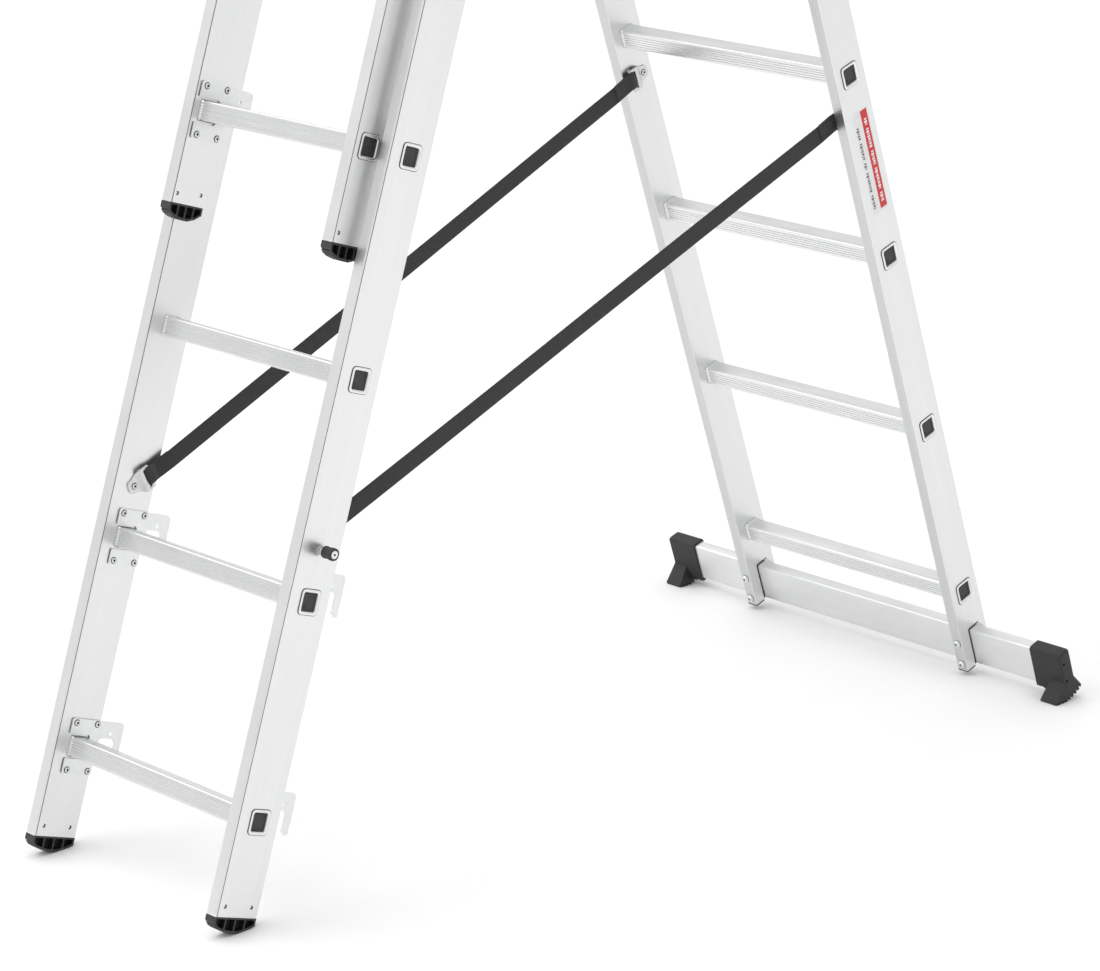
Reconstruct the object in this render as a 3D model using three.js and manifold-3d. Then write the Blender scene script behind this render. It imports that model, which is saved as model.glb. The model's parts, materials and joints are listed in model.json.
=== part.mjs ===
// Three-section combination ladder, standing as a stepladder with the top section extended.
// Units are millimetres, +Z up, +X along the rungs, +Y from the front section to the rear one.
// The origin is on the ground, at the centre of the footprint.
//
// Each section is drawn flat in its own frame and then leaned by a group:
//   x  along the rungs, y  through the depth of the stile (0 at its front edge), z  up the stile
//   (0 at the cut end of the stile).
import * as THREE from 'three';
import { mergeVertices } from 'three/addons/utils/BufferGeometryUtils.js';
import Module from 'manifold-3d';

const wasm = await Module();
wasm.setup();

// ---------------------------------------------------------------- driving dimensions
const LEAN = 18.62;            // lean of each side from the vertical, degrees
const SPREAD = 1392.7;         // between the front lower corners of the two sides' stiles
const PITCH = 280;             // rung to rung, along the stile
const RUNGS = 8;               // rungs in each section
const STILE_LEN = 2200;
const STILE_T = 18.3;          // narrow side of the stile, along X
const WALL = 1.6;
const GAP = 0.3;               // between pieces that touch on the real ladder

const RUNG_Y = 25;             // rung, front to back
const RUNG_Z = 26;             // rung, along the stile
const RUNG_WALL = 1.7;
const FLARE = 3.2;             // width of the swaged rim outside the stile
const FLARE_T = 1.2;

// section: overall width over the stiles, stile depth, rung centre in the depth, first rung height
const REAR = { W: 442.2, D: 57.3, RY: 28.65, Z1: 124 };
const FRONT = { W: 389.5, D: 68.4, RY: 36.5, Z1: 122 };
const TOP = { W: 331.5, D: 55.5, RY: 26.0, Z1: 122 };
const TOP_Y = -33.4;           // front edge of the top section in the front section's depth
const TOP_Z = 3 * PITCH;       // the top section is hooked on the front section's fourth rung

const BAR_Y0 = 20.3, BAR_Y1 = 38.6, BAR_Z0 = 1.0, BAR_Z1 = 61.0;   // stabiliser bar section
const BAR_HALF = 388;          // half its length
const SHOE_IN = 334, SHOE_OUT = 392;
const FLARE_IN = 361;          // inner side of the flared sole block

const PIVOT_Y = 36.5, PIVOT_Z = 2024;  // fold pivot in the front section's frame
const PIVOT_R = 5;
const PLATE_T = 2.5;           // hook plates and guide brackets
const HINGE_T = 4;             // hinge brackets

const WEB_W = 25, WEB_T = 2.2; // webbing of the straps
const LUG_OFF = 6.3;           // strap lug's outer plate from the face of the stile
const FRONT_LUG = { rivet: [33.9, 470.0], bar: [50.0, 484.2] };    // [y, z] in the front section
const REAR_LUG = { rivet: [38.4, 901.2], bar: [17.8, 900.4] };     // [y, z] in the rear section

const KNOB = { y: 37, z: 467.5, r: 8.3, len: 25 };

const th = THREE.MathUtils.degToRad(LEAN);
const S = Math.sin(th), C = Math.cos(th);

// ---------------------------------------------------------------- solids
function solid(geometry) {
  const g = geometry.index ? geometry.toNonIndexed() : geometry.clone();
  g.deleteAttribute('normal');
  g.deleteAttribute('uv');
  const m = mergeVertices(g, 1e-4);
  return new wasm.Manifold(new wasm.Mesh({
    numProp: 3,
    vertProperties: Float32Array.from(m.attributes.position.array),
    triVerts: Uint32Array.from(m.index.array),
  }));
}

function geometryOf(manifold) {
  const mesh = manifold.getMesh();
  const g = new THREE.BufferGeometry();
  g.setAttribute('position', new THREE.BufferAttribute(Float32Array.from(mesh.vertProperties), 3));
  g.setIndex(new THREE.BufferAttribute(Uint32Array.from(mesh.triVerts), 1));
  g.computeVertexNormals();
  return g;
}

function outline(points, holes = []) {
  const shape = new THREE.Shape(points.map(([a, b]) => new THREE.Vector2(a, b)));
  for (const h of holes) shape.holes.push(new THREE.Path(h.map(([a, b]) => new THREE.Vector2(a, b))));
  return shape;
}

// prism up the stile: outline in (x, y), from z0 to z1
function prismZ(points, z0, z1, holes) {
  const g = new THREE.ExtrudeGeometry(outline(points, holes), { depth: z1 - z0, bevelEnabled: false, steps: 1 });
  g.translate(0, 0, z0);
  return solid(g);
}

// prism across the ladder: outline in (y, z), from x0 to x1
function prismX(points, x0, x1, holes) {
  const g = new THREE.ExtrudeGeometry(outline(points, holes), { depth: x1 - x0, bevelEnabled: false, steps: 1 });
  g.applyMatrix4(new THREE.Matrix4().set(0, 0, 1, x0, 1, 0, 0, 0, 0, 1, 0, 0, 0, 0, 0, 1));
  return solid(g);
}

function rect(a0, b0, a1, b1) { return [[a0, b0], [a1, b0], [a1, b1], [a0, b1]]; }

function roundRect(a0, b0, a1, b1, r, n = 2) {
  const pts = [];
  const corner = (ca, cb, start) => {
    for (let i = 0; i <= n; i++) {
      const t = start + (i / n) * Math.PI / 2;
      pts.push([ca + r * Math.cos(t), cb + r * Math.sin(t)]);
    }
  };
  corner(a1 - r, b0 + r, -Math.PI / 2);
  corner(a1 - r, b1 - r, 0);
  corner(a0 + r, b1 - r, Math.PI / 2);
  corner(a0 + r, b0 + r, Math.PI);
  return pts;
}

function circle(ca, cb, r, n = 16) {
  return Array.from({ length: n }, (_, i) => {
    const t = ((i + 0.5) / n) * Math.PI * 2;
    return [ca + r * Math.cos(t), cb + r * Math.sin(t)];
  });
}

// turned piece on an axis along X through (y, z): profile of [x, radius] from end to end
function turned(profile, y, z, n = 16) {
  const pts = profile.map(([x, r]) => new THREE.Vector2(r, x));
  const g = new THREE.LatheGeometry(pts, n);
  g.rotateZ(-Math.PI / 2);
  g.rotateX(Math.PI / n);
  g.translate(0, y, z);
  const s = solid(g);
  if (s.volume() > 0) return s;
  const flipped = g.toNonIndexed();
  const p = flipped.attributes.position;
  for (let i = 0; i < p.count; i += 3) {
    const a = [p.getX(i + 1), p.getY(i + 1), p.getZ(i + 1)];
    p.setXYZ(i + 1, p.getX(i + 2), p.getY(i + 2), p.getZ(i + 2));
    p.setXYZ(i + 2, ...a);
  }
  return solid(flipped);
}

// ---------------------------------------------------------------- finishes
const ALU = { color: 0xd3d5d6, roughness: 0.42, metalness: 0.9 };
const RUNG_ALU = { color: 0xcdcfd1, roughness: 0.38, metalness: 0.9 };
const STEEL = { color: 0xb9bcbe, roughness: 0.35, metalness: 0.9 };
const BLACK_PLASTIC = { color: 0x17181a, roughness: 0.6, metalness: 0 };
const RUBBER = { color: 0x1c1d1f, roughness: 0.85, metalness: 0 };
const WEBBING = { color: 0x141517, roughness: 0.95, metalness: 0 };

function piece(group, name, manifold, finish) {
  const mesh = new THREE.Mesh(geometryOf(manifold), new THREE.MeshStandardMaterial(finish));
  mesh.name = name;
  group.add(mesh);
  return mesh;
}

// ---------------------------------------------------------------- stiles
// box-section tube, open at both ends, with a square hole for each rung through both of its walls
function stile(sec, side, cuts = []) {
  const x1 = sec.W / 2, x0 = x1 - STILE_T;
  let s = prismZ(roundRect(x0, 0, x1, sec.D, 2.6), 0, STILE_LEN, [rect(x0 + WALL, WALL, x1 - WALL, sec.D - WALL).reverse()]);
  for (let i = 0; i < RUNGS; i++) {
    const z = sec.Z1 + i * PITCH;
    s = s.subtract(prismX(rect(sec.RY - RUNG_Y / 2 - GAP, z - RUNG_Z / 2 - GAP, sec.RY + RUNG_Y / 2 + GAP, z + RUNG_Z / 2 + GAP), x0 - 5, x1 + 5));
  }
  for (const c of cuts) s = s.subtract(c);
  return side > 0 ? s : s.mirror([1, 0, 0]);
}

function mirrored(s, side) { return side > 0 ? s : s.mirror([1, 0, 0]); }

// ---------------------------------------------------------------- rungs
// hollow square tube with grip grooves on its front and back, swaged over outside each stile
function rungOutline(cy, cz) {
  const c = 2.2, h = RUNG_Y / 2, k = RUNG_Z / 2, n = 3, pitch = 5.4, gw = 0.8, gd = 0.8;
  const pts = [];
  const face = (sign) => {
    // up the back face when sign is +1, down the front face when sign is -1
    for (let i = 0; i < n; i++) {
      const z = sign * (-(n - 1) / 2 + i) * pitch;
      pts.push([cy + sign * h, cz + z - sign * gw]);
      pts.push([cy + sign * (h - gd), cz + z]);
      pts.push([cy + sign * h, cz + z + sign * gw]);
    }
  };
  pts.push([cy - h + c, cz - k], [cy + h - c, cz - k], [cy + h, cz - k + c]);
  face(1);
  pts.push([cy + h, cz + k - c], [cy + h - c, cz + k], [cy - h + c, cz + k], [cy - h, cz + k - c]);
  face(-1);
  pts.push([cy - h, cz - k + c]);
  return pts;
}

function rung(sec, i) {
  const z = sec.Z1 + i * PITCH, x = sec.W / 2 + GAP + FLARE_T;
  const y0 = sec.RY - RUNG_Y / 2, y1 = sec.RY + RUNG_Y / 2, z0 = z - RUNG_Z / 2, z1 = z + RUNG_Z / 2;
  const bore = rect(y0 + RUNG_WALL + 0.3, z0 + RUNG_WALL, y1 - RUNG_WALL - 0.3, z1 - RUNG_WALL);
  let s = prismX(rungOutline(sec.RY, z), -x, x);
  for (const side of [-1, 1]) {
    const a = side > 0 ? sec.W / 2 + GAP : -x;
    s = s.add(prismX(roundRect(y0 - FLARE, z0 - FLARE, y1 + FLARE, z1 + FLARE, 3.5, 1), a, a + FLARE_T));
  }
  return s.subtract(prismX(bore, -x - 2, x + 2));
}

// ---------------------------------------------------------------- feet and caps
function plug(sec, z0, z1) {
  const x1 = sec.W / 2 - WALL - GAP, x0 = sec.W / 2 - STILE_T + WALL + GAP;
  return prismZ(rect(x0, WALL + GAP, x1, sec.D - WALL - GAP), z0, z1);
}

// sole outline of a stile foot in (y, z), for a stile of depth D
function footOutline(D) {
  const k = D / 68.4;
  const a = 42 * k, b = -20.8, w = 15 * k;      // start and width of the flat that lies on the ground
  return [[0.3, -GAP], [0.3, -8.0], [5.8 * k, -14.9], [13 * k, -17.8], [21 * k, -19.6], [31 * k, -20.8],
    [a, b], [a + w * C, b + w * S], [D - 0.3, -10.4], [D - 0.3, -GAP]];
}

function foot(sec, side) {
  const x1 = sec.W / 2, x0 = x1 - STILE_T;
  const s = prismX(footOutline(sec.D), x0 + 0.1, x1 - 0.1).add(plug(sec, -2, 42));
  return mirrored(s, side);
}

function endCap(sec, side) {
  const x1 = sec.W / 2, x0 = x1 - STILE_T, z = STILE_LEN + GAP;
  const s = prismX([[0.3, z], [sec.D - 0.3, z], [sec.D - 0.3, z + 4], [sec.D - 5, z + 7], [5, z + 7], [0.3, z + 4]], x0 + 0.1, x1 - 0.1)
    .add(plug(sec, STILE_LEN - 35, z + 2));
  return mirrored(s, side);
}

// ---------------------------------------------------------------- hook plates
// Steel plate on the inner face of the stile, wrapped round the rung's end and reaching back as a
// hook that drops over a rung of the next section. dy moves the outline, ry is its own rung's centre.
function hookPlate(sec, dy, side) {
  const z = sec.Z1, ry = sec.RY;
  const x1 = sec.W / 2 - STILE_T - GAP, x0 = x1 - PLATE_T;
  const hz = RUNG_Z / 2 + GAP, back = ry + RUNG_Y / 2 + GAP;
  const pts = [
    [19.3 + dy, z - 36.5], [22 + dy, z - 38.2], [64 + dy, z - 38.2], [67.6 + dy, z - 34.5],
    [67.6 + dy, z + 2], [69.2 + dy, z + 4], [69.2 + dy, z + 13.4], [95.2 + dy, z + 13.4], [95.2 + dy, z - 8],
    [93.8 + dy, z - 13.5], [101.5 + dy, z - 19.5], [106.8 + dy, z - 17.0], [105.6 + dy, z - 10],
    [106.4 + dy, z - 3], [106.4 + dy, z + 29.5], [100 + dy, z + 35.8],
    [22 + dy, z + 37.8], [19.3 + dy, z + 35.5],
    [19.3 + dy, z + hz], [back, z + hz], [back, z - hz], [19.3 + dy, z - hz],
  ];
  return mirrored(prismX(pts, x0, x1), side);
}

// ---------------------------------------------------------------- strap lugs
// Bent steel lug: round end riveted flat on the stile, stepped out to a slotted plate whose last bar
// carries the strap's loop. u runs from the rivet to the bar.
function lug(sec, spec, side) {
  const web = sec.W / 2 - STILE_T;
  const u0 = spec.rivet, u1 = spec.bar;
  const len = Math.hypot(u1[0] - u0[0], u1[1] - u0[1]);
  const t = 2, o = LUG_OFF;
  // side profile in (u, x measured inwards from the stile's face)
  const prof = [[-9, GAP], [7.5, GAP], [13.5, o - t / 2], [len + 2.2, o - t / 2], [len + 2.2, o + t / 2], [12.7, o + t / 2], [6.7, GAP + t], [-9, GAP + t]];
  const w = 34;
  const g = new THREE.ExtrudeGeometry(outline(prof), { depth: w, bevelEnabled: false, steps: 1 });
  g.translate(0, 0, -w / 2);
  // plan outline in (u, w): narrow round end at the rivet, full width at the bar
  const plan = outline([[-9, -4], [-5.5, -8.2], [0, -9.4], [12, -16], [14, -17], [len + 1, -17], [len + 3, -15.5], [len + 3, 15.5], [len + 1, 17], [14, 17], [12, 16], [0, 9.4], [-5.5, 8.2], [-9, 4]],
    [rect(len - 7.5, -13.4, len - 2.6, 13.4).reverse()]);
  const p = new THREE.ExtrudeGeometry(plan, { depth: 20, bevelEnabled: false, steps: 1 });
  // profile (u, x, w) and plan (u, w, x) both to (u, w, x)
  g.applyMatrix4(new THREE.Matrix4().set(1, 0, 0, 0, 0, 0, -1, 0, 0, 1, 0, 0, 0, 0, 0, 1));
  p.translate(0, 0, -2);
  let s = solid(g).intersect(solid(p));
  // (u, w, inwards) to the section: inwards is -x on the +x side
  const dy = (u1[0] - u0[0]) / len, dz = (u1[1] - u0[1]) / len;
  const m = new THREE.Matrix4().set(
    0, 0, -1, web,
    dy, dz, 0, u0[0],
    dz, -dy, 0, u0[1],
    0, 0, 0, 1);
  const mesh = geometryOf(s);
  mesh.applyMatrix4(m);
  const flip = m.determinant() < 0;
  const gi = mesh.toNonIndexed();
  if (flip) {
    const q = gi.attributes.position;
    for (let i = 0; i < q.count; i += 3) {
      const a = [q.getX(i + 1), q.getY(i + 1), q.getZ(i + 1)];
      q.setXYZ(i + 1, q.getX(i + 2), q.getY(i + 2), q.getZ(i + 2));
      q.setXYZ(i + 2, ...a);
    }
  }
  return mirrored(solid(gi), side);
}

// ---------------------------------------------------------------- assembly frames
// shoe outline in the rear section's (y, z): cap round the bar, waist, flared rocker sole
// the second and third points bound the flat that lies on the ground
const SHOE_SOLE = [[-7.6, -5.6], [-4, -7.9], [-4 + 15 * C, -7.9 - 15 * S], [17, -13.6], [30, -13.2], [39.4, -11.8], [48.5, -9.0], [50.8, -5.8]];
const frontLow = Math.min(...footOutline(FRONT.D).map(([y, z]) => z * C - y * S));
const rearLow = Math.min(...SHOE_SOLE.map(([y, z]) => z * C + y * S));
const frontMinY = Math.min(...footOutline(FRONT.D).map(([y, z]) => z * S + y * C));
const rearMaxY = SPREAD + Math.max(...SHOE_SOLE.map(([y, z]) => -z * S + y * C));
const SHIFT_Y = -(frontMinY + rearMaxY) / 2;

const root = new THREE.Group();
const front = new THREE.Group();
front.rotation.x = -th;
front.position.set(0, SHIFT_Y, -frontLow);
const rear = new THREE.Group();
rear.rotation.x = th;
rear.position.set(0, SPREAD + SHIFT_Y, -rearLow);
const top = new THREE.Group();
top.position.set(0, TOP_Y, TOP_Z);
front.add(top);
root.add(front, rear);
root.updateMatrixWorld(true);

// fold pivot in the rear section's frame
const pivotWorld = front.localToWorld(new THREE.Vector3(0, PIVOT_Y, PIVOT_Z));
const pivotRear = rear.worldToLocal(pivotWorld.clone());

const SIDES = [[-1, 'left'], [1, 'right']];

// ---------------------------------------------------------------- rear section
for (const [side, word] of SIDES) {
  const notch = prismX([[20, -2], [60, -2], [60, 38.5], [40, BAR_Z1 + GAP], [20, BAR_Z1 + GAP]], REAR.W / 2 - STILE_T - 5, REAR.W / 2 + 5);
  piece(rear, `rear_stile_${word}`, stile(REAR, side, [notch]), ALU);
}
for (let i = 0; i < RUNGS; i++) piece(rear, `rear_rung_${i + 1}`, rung(REAR, i), RUNG_ALU);

const barHole = roundRect(BAR_Y0 + 2, BAR_Z0 + 2, BAR_Y1 - 2, BAR_Z1 - 2, 1, 1).reverse();
piece(rear, 'stabiliser_bar', prismX(roundRect(BAR_Y0, BAR_Z0, BAR_Y1, BAR_Z1, 3), -BAR_HALF, BAR_HALF, [barHole]), ALU);

for (const [side, word] of SIDES) {
  const cap = prismX(roundRect(BAR_Y0 - 2.6, BAR_Z0 - 5.4, BAR_Y1 + 2.6, BAR_Z1 + 3.2, 3.5), SHOE_IN, SHOE_OUT);
  const flare = prismX([...SHOE_SOLE, [38.6, 18.5], [37.4, 24], [20, 24], [18.6, 17.5], [-7.6, -3.4]], FLARE_IN, SHOE_OUT);
  const neck = prismX([[15, -4], [30, -11], [38, -4], [38, 12], [20, 12]], 348, SHOE_OUT - 2);
  const cavity = prismX(rect(BAR_Y0 - GAP, BAR_Z0 - GAP, BAR_Y1 + GAP, BAR_Z1 + GAP), SHOE_IN - 4, BAR_HALF + GAP);
  piece(rear, `stabiliser_shoe_${word}`, mirrored(cap.add(flare).add(neck).subtract(cavity), side), RUBBER);
}

for (const [side, word] of SIDES) {
  const x1 = REAR.W / 2 - STILE_T - GAP, x0 = x1 - HINGE_T;
  const py = pivotRear.y, pz = pivotRear.z;
  const zt = REAR.Z1 + (RUNGS - 1) * PITCH - RUNG_Z / 2 - 6;
  const plate = prismX([[52, zt - 92], [52, zt - 6], [46, zt], [6, zt], [py + 12, pz + 17], [py - 4, pz + 17.5], [py - 13, pz + 12], [py - 17.5, pz + 2], [py - 15.5, pz - 9], [py - 8, pz - 16], [py + 4, pz - 20], [0, zt - 76], [10, zt - 98], [46, zt - 98]].reverse(), x0, x1)
    .subtract(prismX(circle(py, pz, PIVOT_R + 0.5), x0 - 1, x1 + 1));
  piece(rear, `hinge_bracket_${word}`, mirrored(plate, side), STEEL);
  piece(rear, `rear_strap_lug_${word}`, lug(REAR, REAR_LUG, side), STEEL);
}

// ---------------------------------------------------------------- front section
for (const [side, word] of SIDES) {
  const bolt = prismX(circle(PIVOT_Y, PIVOT_Z, PIVOT_R + 0.4), FRONT.W / 2 - STILE_T - 5, FRONT.W / 2 + 5);
  piece(front, `front_stile_${word}`, stile(FRONT, side, [bolt]), ALU);
}
for (let i = 0; i < RUNGS; i++) piece(front, `front_rung_${i + 1}`, rung(FRONT, i), RUNG_ALU);
for (const [side, word] of SIDES) {
  piece(front, `front_foot_${word}`, foot(FRONT, side), BLACK_PLASTIC);
  for (const n of [1, 2]) {
    piece(front, `front_hook_${n}_${word}`, hookPlate({ ...FRONT, Z1: FRONT.Z1 + (n - 1) * PITCH }, 0, side), STEEL);
  }
  piece(front, `front_strap_lug_${word}`, lug(FRONT, FRONT_LUG, side), STEEL);

  const kx = FRONT.W / 2 + GAP;
  piece(front, `stop_knob_${word}`, mirrored(turned([[kx, 0], [kx, KNOB.r - 0.4], [kx + 1, KNOB.r], [kx + KNOB.len - 1.5, KNOB.r], [kx + KNOB.len, KNOB.r - 1.5], [kx + KNOB.len, 0]], KNOB.y, KNOB.z, 14), side), BLACK_PLASTIC);

  const bx = FRONT.W / 2, ix = bx - STILE_T, hx = REAR.W / 2 - STILE_T - GAP;
  piece(front, `pivot_bolt_${word}`, mirrored(turned([
    [ix - 7, 0], [ix - 7, 7.5], [ix - GAP, 7.5], [ix - GAP, PIVOT_R], [bx + GAP, PIVOT_R], [bx + GAP, 9.5], [hx - HINGE_T - GAP, 9.5], [hx - HINGE_T - GAP, PIVOT_R],
    [hx + GAP, PIVOT_R], [hx + GAP, 9], [hx + 3.5, 8], [hx + 5, 5], [hx + 5, 0]], PIVOT_Y, PIVOT_Z, 12), side), STEEL);

  // guide bracket: flat on the stile's inner face, reaching forward and turned in across the top section's front edge
  const g1 = FRONT.W / 2 - STILE_T - GAP, g0 = g1 - PLATE_T, lip = TOP_Y - 4.4;
  const guide = prismZ([[g0, 56], [g0, lip], [152, lip], [152, lip - PLATE_T], [g1 - 1.5, lip - PLATE_T], [g1, lip - PLATE_T + 1.5], [g1, 56]].reverse(), 2118, 2172);
  piece(front, `guide_bracket_${word}`, mirrored(guide, side), STEEL);
}

// ---------------------------------------------------------------- top section
for (const [side, word] of SIDES) piece(top, `top_stile_${word}`, stile(TOP, side), ALU);
for (let i = 0; i < RUNGS; i++) piece(top, `top_rung_${i + 1}`, rung(TOP, i), RUNG_ALU);
for (const [side, word] of SIDES) {
  piece(top, `top_foot_${word}`, foot(TOP, side), BLACK_PLASTIC);
  piece(top, `top_hook_${word}`, hookPlate(TOP, -12, side), STEEL);
  piece(top, `top_cap_${word}`, endCap(TOP, side), BLACK_PLASTIC);
}

// ---------------------------------------------------------------- straps
// taut webbing between the lugs' bars, its flat face along the stiles' faces
for (const [side, word] of SIDES) {
  const a = front.localToWorld(new THREE.Vector3(side * (FRONT.W / 2 - STILE_T - LUG_OFF), ...FRONT_LUG.bar));
  const b = rear.localToWorld(new THREE.Vector3(side * (REAR.W / 2 - STILE_T - LUG_OFF), ...REAR_LUG.bar));
  const dir = b.clone().sub(a);
  const len = dir.length();
  dir.normalize();
  const ends = 2.2 + 0.8;                 // clear of the end of each lug
  const g = new THREE.BoxGeometry(len - 2 * ends, WEB_W, WEB_T);
  const across = new THREE.Vector3(1, 0, 0).addScaledVector(dir, -dir.x).normalize();
  const up = across.clone().cross(dir).normalize();
  g.applyMatrix4(new THREE.Matrix4().makeBasis(dir, up, across));
  const mid = a.clone().add(b).multiplyScalar(0.5);
  g.translate(mid.x, mid.y, mid.z);
  let s = solid(g);
  piece(root, `strap_${word}`, s, WEBBING);
}

export default root;
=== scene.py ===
import bmesh
import bpy
import json
import math
import random
import numpy as np
from mathutils import Matrix, Vector
from mathutils.geometry import tessellate_polygon

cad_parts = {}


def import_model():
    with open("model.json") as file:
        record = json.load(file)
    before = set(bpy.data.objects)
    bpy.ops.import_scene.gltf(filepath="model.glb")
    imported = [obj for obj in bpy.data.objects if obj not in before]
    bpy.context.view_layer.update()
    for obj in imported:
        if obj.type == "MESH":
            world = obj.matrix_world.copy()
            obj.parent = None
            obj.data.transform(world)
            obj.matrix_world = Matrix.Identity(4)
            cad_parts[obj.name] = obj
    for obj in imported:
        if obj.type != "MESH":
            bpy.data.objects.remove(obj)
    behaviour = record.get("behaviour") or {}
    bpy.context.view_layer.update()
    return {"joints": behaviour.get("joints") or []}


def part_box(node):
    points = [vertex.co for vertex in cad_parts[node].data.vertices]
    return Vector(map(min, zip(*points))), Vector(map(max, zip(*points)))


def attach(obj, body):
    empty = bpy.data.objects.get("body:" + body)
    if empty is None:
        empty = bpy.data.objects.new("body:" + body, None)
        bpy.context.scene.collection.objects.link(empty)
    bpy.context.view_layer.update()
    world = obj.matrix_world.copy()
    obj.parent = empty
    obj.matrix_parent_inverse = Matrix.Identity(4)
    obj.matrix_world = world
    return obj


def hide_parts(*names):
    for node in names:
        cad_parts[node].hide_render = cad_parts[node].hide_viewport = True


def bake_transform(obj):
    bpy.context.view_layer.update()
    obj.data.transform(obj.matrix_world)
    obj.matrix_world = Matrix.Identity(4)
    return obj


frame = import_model()
random.seed(7)

# ------------------------------------------------------------------ dimensions (mm, as in the CAD)
PITCH, RUNGS, LEN, T, WALL, GAP = 280.0, 8, 2200.0, 18.3, 1.6, 0.3
SEC = {
    "rear": dict(W=442.2, D=57.3, RY=28.65, Z1=124.0, body="rear_section"),
    "front": dict(W=389.5, D=68.4, RY=36.5, Z1=122.0, body="front_section"),
    "top": dict(W=331.5, D=55.5, RY=26.0, Z1=122.0, body="top_section"),
}
RUNG_Y, RUNG_Z = 12.5, 13.0          # half sizes of the rung
PLATE_T, HINGE_T, LUG_OFF = 2.5, 4.0, 6.3
FRONT_LUG = ((33.9, 470.0), (52.4, 486.3))
REAR_LUG = ((38.4, 901.2), (12.3, 900.2))
PIVOT = (36.5, 2024.0)
SIDES = ((-1, "left"), (1, "right"))

# ------------------------------------------------------------------ section frames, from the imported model
axis = [j for j in frame["joints"] if j["name"] == "top_slide"][0]["axis"]
S, C = float(axis[1]), float(axis[2])


def section_matrix(name):
    sec = SEC[name]
    lo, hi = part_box(name + "_stile_left")
    if name == "rear":
        y, z = lo.y + LEN / 1000 * S, hi.z - sec["D"] / 1000 * S - LEN / 1000 * C
        return Matrix(((1, 0, 0, 0), (0, C, -S, y), (0, S, C, z), (0, 0, 0, 1)))
    return Matrix(((1, 0, 0, 0), (0, C, S, lo.y), (0, -S, C, lo.z + sec["D"] / 1000 * S), (0, 0, 0, 1)))


for key in SEC:
    SEC[key]["M"] = section_matrix(key)


def world(name, x, y, z):
    """A point of a section's own frame (mm) in the row frame (m)."""
    return SEC[name]["M"] @ Vector((x / 1000, y / 1000, z / 1000))


# ------------------------------------------------------------------ materials
MATS = {}


class Nodes:
    lean = 0.0

    def __init__(self, name):
        self.mat = bpy.data.materials.new(name)
        self.mat.use_nodes = True
        self.t = self.mat.node_tree
        self.t.nodes.clear()
        self.out = self.t.nodes.new("ShaderNodeOutputMaterial")
        self.p = self.t.nodes.new("ShaderNodeBsdfPrincipled")
        self.t.links.new(self.p.outputs[0], self.out.inputs[0])
        MATS[name] = self.mat

    def add(self, kind, **props):
        n = self.t.nodes.new(kind)
        for k, v in props.items():
            setattr(n, k, v)
        return n

    def link(self, a, b):
        self.t.links.new(a, b)

    def coords(self, scale=(1, 1, 1), rotation=(0, 0, 0), kind="Object"):
        c = self.add("ShaderNodeTexCoord")
        m = self.add("ShaderNodeMapping")
        m.inputs["Scale"].default_value = scale
        m.inputs["Rotation"].default_value = rotation
        src = c.outputs[kind]
        if self.lean:
            turn = self.add("ShaderNodeMapping")
            turn.inputs["Rotation"].default_value = (self.lean, 0, 0)
            self.link(src, turn.inputs["Vector"])
            src = turn.outputs["Vector"]
        self.link(src, m.inputs["Vector"])
        return m.outputs["Vector"]

    def noise(self, scale=(1, 1, 1), detail=3.0, rough=0.55, size=1.0, kind="Object"):
        n = self.add("ShaderNodeTexNoise")
        n.inputs["Scale"].default_value = size
        n.inputs["Detail"].default_value = detail
        n.inputs["Roughness"].default_value = rough
        self.link(self.coords(scale, kind=kind), n.inputs["Vector"])
        return n.outputs["Fac"]

    def voronoi(self, scale, size=1.0, feature="F1"):
        n = self.add("ShaderNodeTexVoronoi", feature=feature)
        n.inputs["Scale"].default_value = size
        self.link(self.coords(scale), n.inputs["Vector"])
        return n

    def math(self, op, a, b=None, clamp=False):
        n = self.add("ShaderNodeMath", operation=op, use_clamp=clamp)
        for i, v in enumerate((a, b)):
            if v is None:
                continue
            if isinstance(v, (int, float)):
                n.inputs[i].default_value = v
            else:
                self.link(v, n.inputs[i])
        return n.outputs[0]

    def remap(self, v, a, b, lo=0.0, hi=1.0):
        n = self.add("ShaderNodeMapRange")
        n.inputs["From Min"].default_value = lo
        n.inputs["From Max"].default_value = hi
        n.inputs["To Min"].default_value = a
        n.inputs["To Max"].default_value = b
        self.link(v, n.inputs["Value"])
        return n.outputs[0]

    def ramp(self, v, stops):
        n = self.add("ShaderNodeValToRGB")
        r = n.color_ramp
        while len(r.elements) < len(stops):
            r.elements.new(0.5)
        for e, (pos, col) in zip(r.elements, stops):
            e.position = pos
            e.color = (*col, 1)
        self.link(v, n.inputs["Fac"])
        return n.outputs["Color"]

    def bump(self, height, strength, distance, below=None):
        n = self.add("ShaderNodeBump")
        n.inputs["Strength"].default_value = strength
        n.inputs["Distance"].default_value = distance
        self.link(height, n.inputs["Height"])
        if below is not None:
            self.link(below, n.inputs["Normal"])
        return n.outputs["Normal"]

    def set(self, **values):
        for k, v in values.items():
            s = self.p.inputs[k.replace("_", " ")]
            if hasattr(v, "links") or isinstance(v, bpy.types.NodeSocket):
                self.link(v, s)
            else:
                s.default_value = v


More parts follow.
